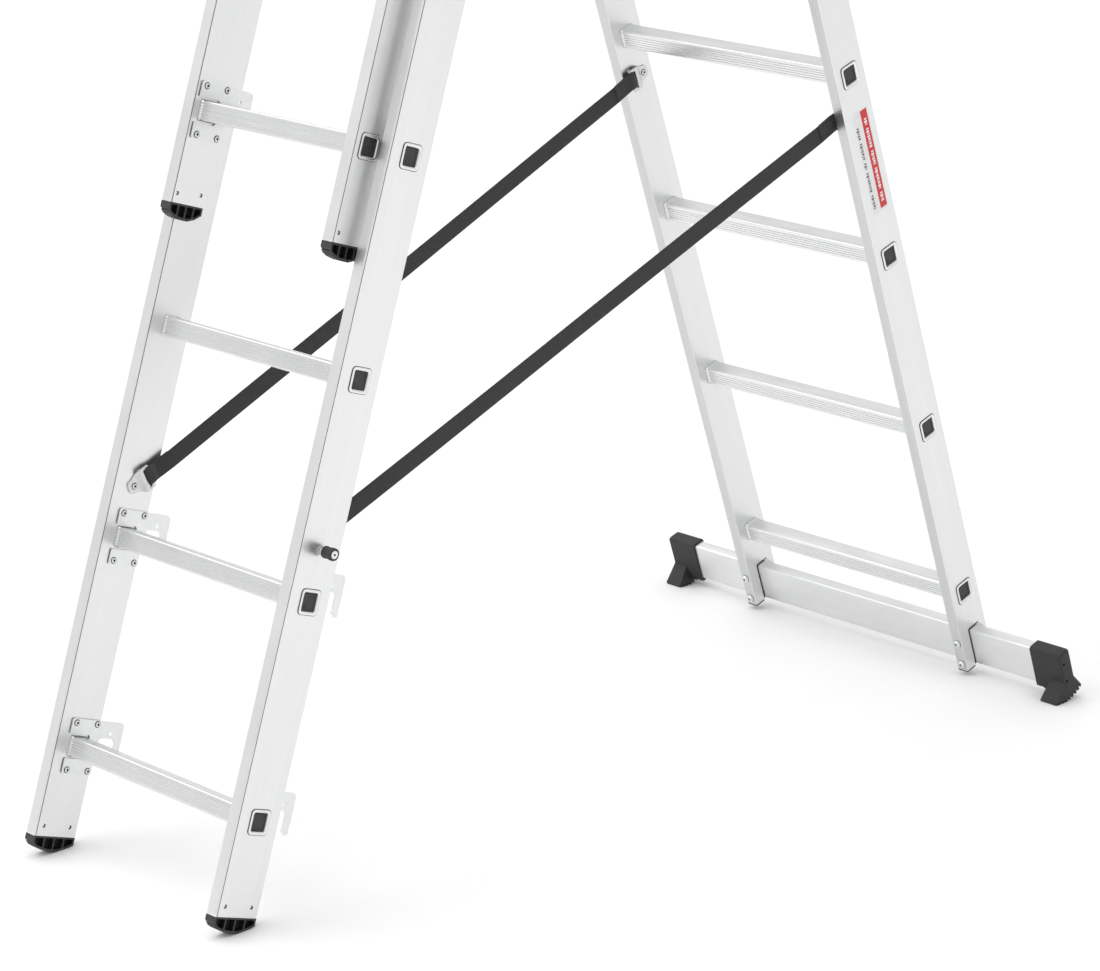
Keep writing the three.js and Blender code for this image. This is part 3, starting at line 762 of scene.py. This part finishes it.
# ------------------------------------------------------------------ hook plates
def hook(name, i, side, word, node):
    sec = SEC[name]
    z, dy = sec["Z1"] + i * PITCH, 0 if name == "front" else -12
    x1 = sec["W"] / 2 - T - GAP
    x0 = x1 - PLATE_T
    hz, back = RUNG_Z + 3.4, sec["RY"] + RUNG_Y + 4.2
    P = [(19.3, -37.2, 3.2), (67.6, -37.2, 3.6), (67.6, 2, 2.5), (69.2, 4, 2), (69.2, 13.4, 4.5), (95.2, 13.4, 8.0), (95.2, -8, 3),
         (93.4, -13.5, 1.2), (101.5, -19.5, 1.6), (106.8, -17.0, 1.6), (105.6, -10, 3), (106.4, -3, 6), (106.4, 35.8, 6.5), (19.3, 37.4, 3.2)]
    if name == "top":      # its short tip ends behind the rung it hangs on
        P[6:11] = [(95.2, -5, 3), (94.6, -8.5, 1.2), (101.5, -12.5, 1.6), (106.4, -11.5, 1.6), (105.8, -6, 3)]
    pts = [(p + dy, z + q) for p, q, r in P] + [(19.3 + dy, z + hz), (back, z + hz), (back, z - hz), (19.3 + dy, z - hz)]
    radii = [r for p, q, r in P] + [1.2, 4.0, 4.0, 1.2]
    out = fillet(pts, radii, 4)
    hole = circle(86.0 + dy, z + 20.2, 2.5, 18)[::-1]
    m = Mesh().plate(out, [hole], x0, x0 + 1.7, PX())
    for v in ((26.5, 61.0) if name == "front" else (15.5, 49.5)):
        for dz in (-31.5, 31.5):
            m.plate(circle(v, z + dz, 5.2, 20), [], x0 + 1.6, x1, PX())
    o = to_object(f"{node}_visual", m.mirror(side), [STEEL], name)
    shade(o, 38, 0.35, 2)
    finish_piece(o, sec["body"], [node])
    r = Mesh()
    vs = (26.5, 61.0) if name == "front" else (15.5, 49.5)
    for v in vs:
        for dz in (-31.5, 31.5):
            add_rivet(r, inward(x0, v, z + dz, side))
    ro = to_object(f"{node}_rivets", r, [RIVET, MANDREL_AND_SHADE], name)
    shade(ro, 50)
    finish_piece(ro, sec["body"])


# ------------------------------------------------------------------ strap lugs
def lug(name, spec, side, word):
    sec = SEC[name]
    web = sec["W"] / 2 - T
    u0, u1 = spec
    length = math.hypot(u1[0] - u0[0], u1[1] - u0[1])
    ey, ez = (u1[0] - u0[0]) / length, (u1[1] - u0[1]) / length
    plan = fillet([(-9.2, -5), (-6.5, -9.0), (0, -9.8), (12.2, -16.6), (14, -17), (length + 3, -17), (length + 3, 17), (14, 17), (12.2, 16.6), (0, 9.8), (-6.5, 9.0), (-9.2, 5)],
                  [4, 4, 6, 4, 3, 2.2, 2.2, 3, 4, 6, 4, 4], 4)
    slot = fillet(rect(length - 7.5, -13.6, length - 2.6, 13.6), 1.8, 4)[::-1]
    m = Mesh().plate(plan, [slot], 0.0, 2.0, lambda a, b, h: (a, b, h))
    me = bpy.data.meshes.new("lug")
    me.from_pydata(m.v, [], m.f)
    bm = bmesh.new()
    bm.from_mesh(me)
    bmesh.ops.recalc_face_normals(bm, faces=bm.faces)
    for u in np.arange(5.0, 15.01, 0.8):
        bmesh.ops.bisect_plane(bm, geom=bm.verts[:] + bm.edges[:] + bm.faces[:], plane_co=(u, 0, 0), plane_no=(1, 0, 0))
    for v in bm.verts:
        t = min(1.0, max(0.0, (v.co.x - 6.0) / 8.0))
        rise = (t * t * (3 - 2 * t)) * (LUG_OFF - 1.0 - GAP)
        u, w, h = v.co.x, v.co.y, v.co.z + GAP + rise
        v.co = Vector((side * (web - h), u0[0] + ey * u + ez * w * 1.0, u0[1] + ez * u - ey * w))
    bmesh.ops.recalc_face_normals(bm, faces=bm.faces)
    mm = Mesh()
    bm.verts.ensure_lookup_table()
    mm.v = [tuple(v.co) for v in bm.verts]
    mm.f = [tuple(v.index for v in f.verts) for f in bm.faces]
    mm.m = [0] * len(mm.f)
    bm.free()
    bpy.data.meshes.remove(me)
    node = f"{name}_strap_lug_{word}"
    o = to_object(f"{node}_visual", mm, [LUG_STEEL], name)
    shade(o, 38, 0.45, 2)
    finish_piece(o, sec["body"], [node])
    r = Mesh()
    add_rivet(r, inward(web - GAP - 2.0, u0[0], u0[1], side))
    ro = to_object(f"{node}_rivet", r, [RIVET, MANDREL_AND_SHADE], name)
    shade(ro, 50)
    finish_piece(ro, sec["body"])


# ------------------------------------------------------------------ knobs, pivots, brackets
def knob(side, word):
    x = SEC["front"]["W"] / 2 + GAP
    y, z = 37.0, 467.5
    m = Mesh().turned([(6.4, 0), (6.4, 6.6), (6.9, 7.6), (7.8, 8.0), (9.2, 8.0), (9.8, 7.5), (17.6, 7.5), (18.4, 8.1), (19.2, 8.25), (22.6, 8.25), (23.9, 7.9), (24.7, 7.1), (24.9, 6.4), (24.6, 5.9), (23.9, 5.7), (23.6, 5.5), (23.6, 0)],
                     outward(x, y, z, side), 40)
    o = to_object(f"stop_knob_{word}_visual", m, [PLASTIC], "front")
    shade(o, 42)
    finish_piece(o, "front_section", [f"stop_knob_{word}"])
    # the rivet's centre recess is near-black: painted shade in the hole
    r = Mesh().turned([(23.0, 0), (23.0, 5.4), (24.4, 5.4), (24.8, 5.0), (24.95, 4.2), (24.95, 1.9), (24.8, 1.6), (23.9, 1.5), (23.9, 0)],
                      outward(x, y, z, side), 32, [0, 0, 0, 0, 0, 0, 1, 1])
    r.turned([(0.02, 0), (0.02, 6.4), (1.1, 6.4), (1.3, 5.9), (1.3, 4.4), (6.6, 4.4), (6.6, 0)], outward(x, y, z, side), 28)
    ro = to_object(f"stop_knob_{word}_rivet", r, [RIVET, MANDREL_AND_SHADE], "front")
    shade(ro, 50)
    finish_piece(ro, "front_section")


def pivot(side, word):
    bx = SEC["front"]["W"] / 2
    ix, hx = bx - T, SEC["rear"]["W"] / 2 - T - GAP
    put = lambda a, b, h: (side * h, PIVOT[0] + a, PIVOT[1] + b)
    m = Mesh()
    m.turned([(ix - 9.0, 0), (ix - 9.0, 4.2), (ix - 8.2, 4.9), (bx + 0.1, 4.95), (hx + 0.5, 4.95), (hx + 0.5, 8.9), (hx + 1.2, 9.1), (hx + 2.2, 8.8), (hx + 3.6, 7.4), (hx + 4.6, 5.2), (hx + 4.9, 3.2), (hx + 3.2, 2.9), (hx + 3.2, 0)], put, 32)
    m.turned([(ix - 6.9, 4.8), (ix - 6.9, 7.2), (ix - 6.3, 8.0), (ix - 1.9, 8.0), (ix - 1.9, 4.8)], put, 6)
    m.turned([(ix - 1.8, 4.97), (ix - 1.8, 8.7), (ix - 0.35, 8.9), (ix - 0.3, 4.97)], put, 32)
    m.turned([(bx + 0.35, 4.97), (bx + 0.35, 9.4), (hx - HINGE_T - 0.35, 9.4), (hx - HINGE_T - 0.35, 4.97)], put, 32)
    o = to_object(f"pivot_bolt_{word}_visual", m, [STEEL], "front")
    shade(o, 40, 0.25, 2, 35)
    finish_piece(o, "front_section", [f"pivot_bolt_{word}"])


def hinge_bracket(side, word):
    rear = SEC["rear"]
    x1 = rear["W"] / 2 - T - GAP
    x0 = x1 - HINGE_T
    p = rear["M"].inverted() @ world("front", 0, PIVOT[0], PIVOT[1])
    py, pz = p.y * 1000, p.z * 1000
    zt = rear["Z1"] + (RUNGS - 1) * PITCH - RUNG_Z - 6
    pts = [(52, zt - 92), (52, zt - 6), (46, zt), (6, zt), (py + 12, pz + 17), (py - 4, pz + 17.5), (py - 13, pz + 12), (py - 17.5, pz + 2), (py - 15.5, pz - 9), (py - 8, pz - 16), (py + 4, pz - 20), (0, zt - 76), (10, zt - 98), (46, zt - 98)]
    out = fillet(pts, [4, 3, 3, 5, 6, 6, 8, 8, 8, 6, 10, 8, 4, 4], 4)
    m = Mesh().plate(out, [circle(py, pz, 5.3, 28)[::-1], circle(16, zt - 20, 2.6, 16)[::-1], circle(16, zt - 78, 2.6, 16)[::-1]], x0, x1, PX())
    o = to_object(f"hinge_bracket_{word}_visual", m.mirror(side), [STEEL], "rear")
    shade(o, 38, 0.5, 2)
    finish_piece(o, "rear_section", [f"hinge_bracket_{word}"])
    r = Mesh()
    for y, z in ((42, zt - 12), (42, zt - 84), (42, zt - 48), (16, zt - 50)):
        add_rivet(r, inward(x0, y, z, side))
    ro = to_object(f"hinge_bracket_{word}_rivets", r, [RIVET, MANDREL_AND_SHADE], "rear")
    shade(ro, 50)
    finish_piece(ro, "rear_section")


def guide_bracket(side, word):
    g1 = SEC["front"]["W"] / 2 - T - GAP
    g0, lip = g1 - PLATE_T, -33.4 - 4.4
    pts = [(g1, 56), (g0, 56), (g0, lip), (152, lip), (152, lip - PLATE_T), (g1, lip - PLATE_T)]
    out = fillet(pts, [0.8, 0.8, 1.2, 1.0, 1.0, 3.4], 4)
    m = Mesh().plate(out, [], 2118.2, 2171.8, lambda a, b, h: (a, b, h))
    o = to_object(f"guide_bracket_{word}_visual", m.mirror(side), [STEEL], "front")
    shade(o, 38, 0.4, 2)
    finish_piece(o, "front_section", [f"guide_bracket_{word}"])
    r = Mesh()
    for y in (14, 48):
        for z in (2130, 2160):
            add_rivet(r, inward(g0, y, z, side))
    ro = to_object(f"guide_bracket_{word}_rivets", r, [RIVET, MANDREL_AND_SHADE], "front")
    shade(ro, 50)
    finish_piece(ro, "front_section")


# ------------------------------------------------------------------ stabiliser bar and shoes
BAR = (20.3, 1.0, 38.6, 61.0)
SOLE = [(-7.6, -5.6), (-4, -7.9), (-4 + 15 * C, -7.9 - 15 * S), (17, -13.6), (30, -13.2), (39.4, -11.8), (48.5, -9.0), (50.8, -5.8)]


def bar():
    outer = rr(*BAR, 3.0, 6)
    inner = rr(BAR[0] + 2, BAR[1] + 2, BAR[2] - 2, BAR[3] - 2, 1.2, 6)
    m = Mesh().loft([[(x, a, b) for a, b in p] for x, p in ((-388, outer), (388, outer), (388, inner), (-388, inner))], around=True)
    o = to_object("stabiliser_bar_visual", m, [BAR_ALU], "rear")
    shade(o, 38)
    finish_piece(o, "rear_section", ["stabiliser_bar"])
    b = Mesh()
    for sx in (-1, 1):
        for z in (10.5, 46.5):
            x = sx * 212.5
            put = lambda a, q, h, x=x, z=z: (x + a, -h, z + q)
            # the ring under each head is near-black, a painted shadow outline; the head's centre recess is near-black
            # too, painted shade
            b.turned([(-0.3, 0), (-0.3, 6.4), (0.1, 6.4), (0.3, 6.2), (0.35, 5.2)], put, 28, [1, 1, 1, 1])
            b.turned([(0.3, 5.4), (0.5, 5.9), (1.0, 5.9), (1.3, 5.5), (1.35, 4.3), (2.3, 4.2), (3.2, 3.5), (3.7, 2.5), (3.8, 1.8), (3.0, 1.6), (2.2, 1.5), (2.2, 0)], put, 28, [0, 0, 0, 0, 0, 0, 0, 0, 1, 1, 1])
            nut = lambda a, q, h, x=x, z=z: (x + a, 38.6 + h, z + q)
            b.turned([(0.02, 0), (0.02, 6.4), (1.0, 6.4), (1.0, 0)], nut, 28)
            b.turned([(1.0, 0), (1.0, 5.4), (1.3, 5.75), (4.6, 5.75), (5.0, 5.3), (5.0, 0)], nut, 6)
            b.turned([(4.9, 0), (4.9, 2.8), (6.6, 2.8), (7.0, 2.3), (7.0, 0)], nut, 16)
    bo = to_object("stabiliser_bolts", b, [STEEL, MANDREL_AND_SHADE], "rear")
    shade(bo, 40, 0.15, 2, 35)
    finish_piece(bo, "rear_section")


def shoe(side, word):
    y0, z0, y1, z1 = BAR
    xi, xo = 336.2, 392.0
    def ring(x, d, r):
        return [(x, a, b) for a, b in rr(y0 - 2.6 + d, z0 - 5.4 + d, y1 + 2.6 - d, z1 + 3.2 - d, r, 6)]
    rings = [ring(xi, 0.5, 4.2), ring(xi + 0.5, 0.0, 4.6), ring(xo - 4.2, 0.0, 4.6), ring(xo - 2.2, 0.5, 4.6), ring(xo - 0.8, 1.7, 4.6), ring(xo, 3.6, 4.2)]
    m = Mesh().loft(rings)
    o = to_object(f"stabiliser_shoe_{word}_visual", m.mirror(side), [RUBBER], "rear")
    # flared block under the cap, with a toothed sole and a straight front
    teeth = toothed(SOLE, 7.3, 4.0, 0.50)
    out = teeth + [(50.8, -5.4)] + fillet([(50.8, -5.4), (38.8, 18.6), (37.4, 27), (20, 27), (18.4, 17.3), (-7.6, -3.6)], [0, 3, 0, 0, 1.5, 0], 4)[1:]
    def block(a, b, h):
        lean = max(0.0, min(1.0, (16.0 - b) / 26.0))
        return (h - (4.0 * lean if h < 370 else -1.2 * lean), a, b)
    f = Mesh().plate(out, [], 365.5, xo - 1.2, block)
    cut(o, to_object("cutter", f.mirror(side), [RUBBER], "rear"), "UNION")
    neck = Mesh().plate(fillet([(21, 10), (18.5, -1), (20, -6.5), (34, -6.5), (38, -1), (38, 10)], 1.5, 3), [], 344.0, 388.0, lambda a, b, h: (h + (max(0.0, -b) * 1.1 if h < 350 else 0), a, b))
    cut(o, to_object("cutter", neck.mirror(side), [RUBBER], "rear"), "UNION")
    # the cavity and screw holes carry the near-black plastic: painted shade inside them
    cav = Mesh().plate(rr(y0 - 0.25, z0 - 0.25, y1 + 0.25, z1 + 0.25, 2.6, 4), [], xi - 4, 388.3, PX())
    for yy, zz in ((24.0, 46.0), (23.6, 17.0)):
        cav.plate(circle(yy, zz, 2.1, 16), [], 389.2, xo + 3, PX())
    cut(o, to_object("cutter", cav.mirror(side), [BLACK_SHADE], "rear"), carry=True)
    shade(o, 38, 0.45, 2)
    finish_piece(o, "rear_section", [f"stabiliser_shoe_{word}"])


# ------------------------------------------------------------------ straps
WEB_W, WEB_T = 25.0, 1.7


def ease(t):
    t = min(1.0, max(0.0, t))
    return t * t * (3 - 2 * t)


def strap(side, word):
    a = world("front", side * (SEC["front"]["W"] / 2 - T - LUG_OFF), *FRONT_LUG[1])
    b = world("rear", side * (SEC["rear"]["W"] / 2 - T - LUG_OFF), *REAR_LUG[1])
    d = (b - a).normalized()
    L = (b - a).length * 1000
    n = Vector((1, 0, 0))
    n = (n - d * n.dot(d)).normalized()
    w = n.cross(d).normalized()
    R, EDGE, TAIL = 1.92, 2.6, 39.0
    def main_n(x):
        e = min(x, L - x)
        return -R * (1 - ease((e - 5) / 40))
    def tail_n(e):
        return main_n(e) + (WEB_T + 0.06) + (2 * R - WEB_T - 0.06) * (1 - ease((e - 3.2) / 11))
    path = []
    for e in np.linspace(TAIL, -EDGE + 0.01, 26):
        path.append((e, tail_n(e)))
    for k in range(1, 12):
        t = math.pi / 2 + math.pi * k / 12
        path.append((-EDGE + R * math.cos(t), R * math.sin(t)))
    body = np.concatenate([np.linspace(-EDGE + 0.01, 48, 24), np.linspace(60, L - 60, 90), np.linspace(L - 48, L + EDGE - 0.01, 24)])
    for x in body:
        path.append((float(x), main_n(min(max(x, 0), L))))
    for k in range(1, 12):
        t = -math.pi / 2 + math.pi * k / 12
        path.append((L + EDGE + R * math.cos(t), R * math.sin(t)))
    for e in np.linspace(-EDGE + 0.01, TAIL, 26):
        path.append((L - e, tail_n(e)))
    # a slow, slight twist and bow, so that the webbing isn't ruler straight
    pts = [Vector((x, y)) for x, y in path]
    nw = 12
    half, ht = WEB_W / 2, WEB_T / 2
    section = [(half * (-1 + 2 * i / nw), ht * (1 - 0.55 * abs(-1 + 2 * i / nw) ** 8)) for i in range(nw + 1)]
    section = section + [(p, -q) for p, q in section[::-1]]
    verts, uvs, s = [], [], 0.0
    for i, p in enumerate(pts):
        q0, q1 = pts[max(0, i - 1)], pts[min(len(pts) - 1, i + 1)]
        t = (q1 - q0).normalized()
        nn = Vector((-t.y, t.x))
        if i:
            s += (p - pts[i - 1]).length
        mid = math.sin(math.pi * min(1, max(0, p.x / L)))
        bow = 0.9 * mid * math.sin(5.3 * p.x / L + side)
        twist = math.radians(1.6) * mid * math.sin(7.1 * p.x / L + 1 + side)
        for j, (cw, cn) in enumerate(section):
            off = nn * cn
            tail = 1.9 * ease((TAIL - min(abs(p.x), abs(L - p.x))) / 3.0 + 0.4) if (i < 26 or i >= len(pts) - 26) else 0.0
            ww = cw
            P = a * 1000 + d * (p.x + off.x) + (n * math.cos(twist) + w * math.sin(twist)) * (p.y + off.y + bow) + (w * math.cos(twist) - n * math.sin(twist)) * (ww + tail)
            verts.append(tuple(P))
            uvs.append((s / 1000, cw / 1000))
    k = len(section)
    faces = []
    for i in range(len(pts) - 1):
        for j in range(k):
            faces.append((i * k + j, i * k + (j + 1) % k, (i + 1) * k + (j + 1) % k, (i + 1) * k + j))
    faces.append(tuple(range(k))[::-1])
    faces.append(tuple((len(pts) - 1) * k + j for j in range(k)))
    me = bpy.data.meshes.new(f"strap_{word}_visual")
    me.from_pydata([tuple(c / 1000 for c in v) for v in verts], [], faces)
    me.materials.append(WEB)
    uv = me.uv_layers.new(name="UVMap")
    for loop in me.loops:
        uv.data[loop.index].uv = uvs[loop.vertex_index]
    bm = bmesh.new()
    bm.from_mesh(me)
    bmesh.ops.recalc_face_normals(bm, faces=bm.faces)
    bm.to_mesh(me)
    bm.free()
    o = bpy.data.objects.new(f"strap_{word}_visual", me)
    bpy.context.scene.collection.objects.link(o)
    me.polygons.foreach_set("use_smooth", [True] * len(me.polygons))
    me.set_sharp_from_angle(angle=math.radians(60))
    # sewing: a box of stitches with a cross line over each lap
    st = Mesh()
    def stitch(x, y, dx, dy, nrm):
        m = []
        ln = math.hypot(dx, dy)
        for i in range(5):
            t = i / 4
            r = 0.42 * math.sin(math.pi * (0.12 + 0.76 * t))
            c = a * 1000 + d * (x + dx * t) + w * (y + dy * t) + n * nrm
            e1 = (d * dx + w * dy).normalized()
            e2 = n.cross(e1)
            m.append([tuple(c + (e2 * math.cos(2 * math.pi * j / 6) + n * 0.8 * math.sin(2 * math.pi * j / 6)) * r) for j in range(6)])
        st.loft(m)
    for end in (0, 1):
        def place(e):
            return e if end == 0 else L - e
        for yy in (-9.5, 9.5):
            for e in np.arange(17.0, 35.0, 3.0):
                stitch(place(e), yy, 2.2 if end == 0 else -2.2, 0, tail_n(e + 1.1) + WEB_T / 2 + 0.1)
        for e in (16.0, 26.0, 36.0):
            for yy in np.arange(-9.5, 8.0, 3.0):
                stitch(place(e), yy, 0, 2.2, tail_n(e) + WEB_T / 2 + 0.1)
    so = to_object(f"strap_{word}_stitches", st, [THREAD])
    shade(so, 60, weighted=False)
    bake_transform(o)
    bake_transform(so)
    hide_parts(f"strap_{word}")


# ------------------------------------------------------------------ label: plain coloured bands, no lettering
def label():
    x = SEC["rear"]["W"] / 2
    def band(name, pts, mat, h):
        m = Mesh().plate(pts, [], x + 0.01, x + h, PX())
        o = to_object(name, m, [mat], "rear")
        shade(o, 30, weighted=False)
        finish_piece(o, "rear_section")
    def marks(name, mat, v0, v1, start, groups, h):
        m, z = Mesh(), start
        for g in groups:
            for k in range(g):
                t = 1.5 + 0.7 * ((k * 5 + g) % 3)
                inset = 0.9 * ((k * 3 + g) % 2)
                m.plate([(v0 + inset, z), (v1, z), (v1, z + t), (v0 + inset, z + t)], [], x + 0.01, x + h, PX())
                z += t + 1.5
            z += 4.2
        o = to_object(name, m, [mat], "rear")
        shade(o, 30, weighted=False)
        finish_piece(o, "rear_section")
    band("label_film", fillet(rect(15.5, 754.0, 46.5, 910.5), 2.0, 4), CLEAR, 0.06)
    band("label_band", rect(31.4, 758.0, 44.4, 907.5), RED, 0.14)
    marks("label_band_marks", WHITE, 35.4, 40.6, 767.0, (4, 9, 6, 8, 3), 0.20)
    marks("label_marks", GREY, 17.6, 22.4, 763.0, (6, 8, 3, 7, 5), 0.13)


# ------------------------------------------------------------------ build
BAR_ALU = aluminium("bar_satin", 0, (0.73, 0.734, 0.738), (0.83, 0.833, 0.836))
for name in SEC:
    for side, word in SIDES:
        stile(name, side, word)
        rung_plugs(name, side, word)
    for i in range(RUNGS):
        rung(name, i)
for side, word in SIDES:
    foot("front", side, word)
    foot("top", side, word)
    end_cap("front", side, word)
    end_cap("rear", side, word)
    end_cap("top", side, word, [f"top_cap_{word}"])
    for i in (0, 1):
        hook("front", i, side, word, f"front_hook_{i + 1}_{word}")
    hook("top", 0, side, word, f"top_hook_{word}")
    lug("front", FRONT_LUG, side, word)
    lug("rear", REAR_LUG, side, word)
    knob(side, word)
    pivot(side, word)
    hinge_bracket(side, word)
    guide_bracket(side, word)
    shoe(side, word)
    strap(side, word)
bar()
label()

# ------------------------------------------------------------------ floor, light, camera
floor = Nodes("studio_floor")
fn = floor.noise((3, 3, 3), 3.0, 0.6)
floor.set(Base_Color=floor.ramp(fn, [(0.3, (0.90, 0.90, 0.90)), (0.7, (0.93, 0.93, 0.93))]))
floor.set(Roughness=floor.remap(fn, 0.55, 0.65))
m = Mesh().add([(-30000, -30000, 0), (30000, -30000, 0), (30000, 30000, 0), (-30000, 30000, 0)], [(0, 1, 2, 3)])
ground = to_object("studio_floor", m, [floor.mat])

wn = bpy.data.worlds.new("studio")
bpy.context.scene.world = wn
wn.use_nodes = True
wt = wn.node_tree
bg = wt.nodes["Background"]
tc = wt.nodes.new("ShaderNodeTexCoord")
sx = wt.nodes.new("ShaderNodeSeparateXYZ")
cr = wt.nodes.new("ShaderNodeValToRGB")
mr = wt.nodes.new("ShaderNodeMapRange")
mr.inputs["From Min"].default_value = -1.0
wt.links.new(tc.outputs["Generated"], sx.inputs[0])
wt.links.new(sx.outputs[2], mr.inputs["Value"])
wt.links.new(mr.outputs[0], cr.inputs["Fac"])
wt.links.new(cr.outputs["Color"], bg.inputs["Color"])
r = cr.color_ramp
r.elements[0].position, r.elements[0].color = 0.48, (0.92, 0.92, 0.92, 1)
r.elements[1].position, r.elements[1].color = 0.85, (1.0, 1.0, 1.0, 1)
bg.inputs["Strength"].default_value = 0.80


def area(name, loc, target, size, energy, size_y=None):
    l = bpy.data.lights.new(name, "AREA")
    l.shape = "RECTANGLE"
    l.size, l.size_y = size, size_y or size
    l.energy = energy
    o = bpy.data.objects.new(name, l)
    bpy.context.scene.collection.objects.link(o)
    o.location = loc
    o.rotation_mode = "QUATERNION"
    o.rotation_quaternion = (Vector(target) - Vector(loc)).to_track_quat("-Z", "Y")
    return o


area("key", (-1.5, -4.2, 5.2), (0, 0, 0.8), 3.5, 40)
area("side", (5.0, 0.5, 3.2), (0, 0, 0.9), 3.0, 20)
sun = bpy.data.lights.new("sky_panel", "SUN")
sun.energy, sun.angle = 1.35, math.radians(75)
so = bpy.data.objects.new("sky_panel", sun)
bpy.context.scene.collection.objects.link(so)
so.rotation_mode = "QUATERNION"
so.rotation_quaternion = Vector((1.3, 1.5, -3.4)).to_track_quat("-Z", "Y")

sc = bpy.context.scene
sc.view_settings.view_transform = "Standard"
sc.view_settings.look = "None"
sc.view_settings.exposure = 0.0

cam = bpy.data.cameras.new("camera")
cam.sensor_fit = "HORIZONTAL"
cam.sensor_width = 36.0
cam.lens = 3853.42 / 1100 * 36.0
cam.clip_end = 200
yaw, pitch, roll = math.radians(46.285), math.radians(-16.985), math.radians(-0.347)
fwd = Vector((-math.sin(yaw) * math.cos(pitch), math.cos(yaw) * math.cos(pitch), math.sin(pitch)))
right = fwd.cross(Vector((0, 0, 1))).normalized()
upv = right.cross(fwd)
cr_, cu_ = right * math.cos(roll) + upv * math.sin(roll), -right * math.sin(roll) + upv * math.cos(roll)
co = bpy.data.objects.new("camera", cam)
sc.collection.objects.link(co)
co.matrix_world = Matrix(((cr_.x, cu_.x, -fwd.x, 3.644223), (cr_.y, cu_.y, -fwd.y, -3.445018), (cr_.z, cu_.z, -fwd.z, 1.921797), (0, 0, 0, 1)))
sc.camera = co

bpy.context.view_layer.update()
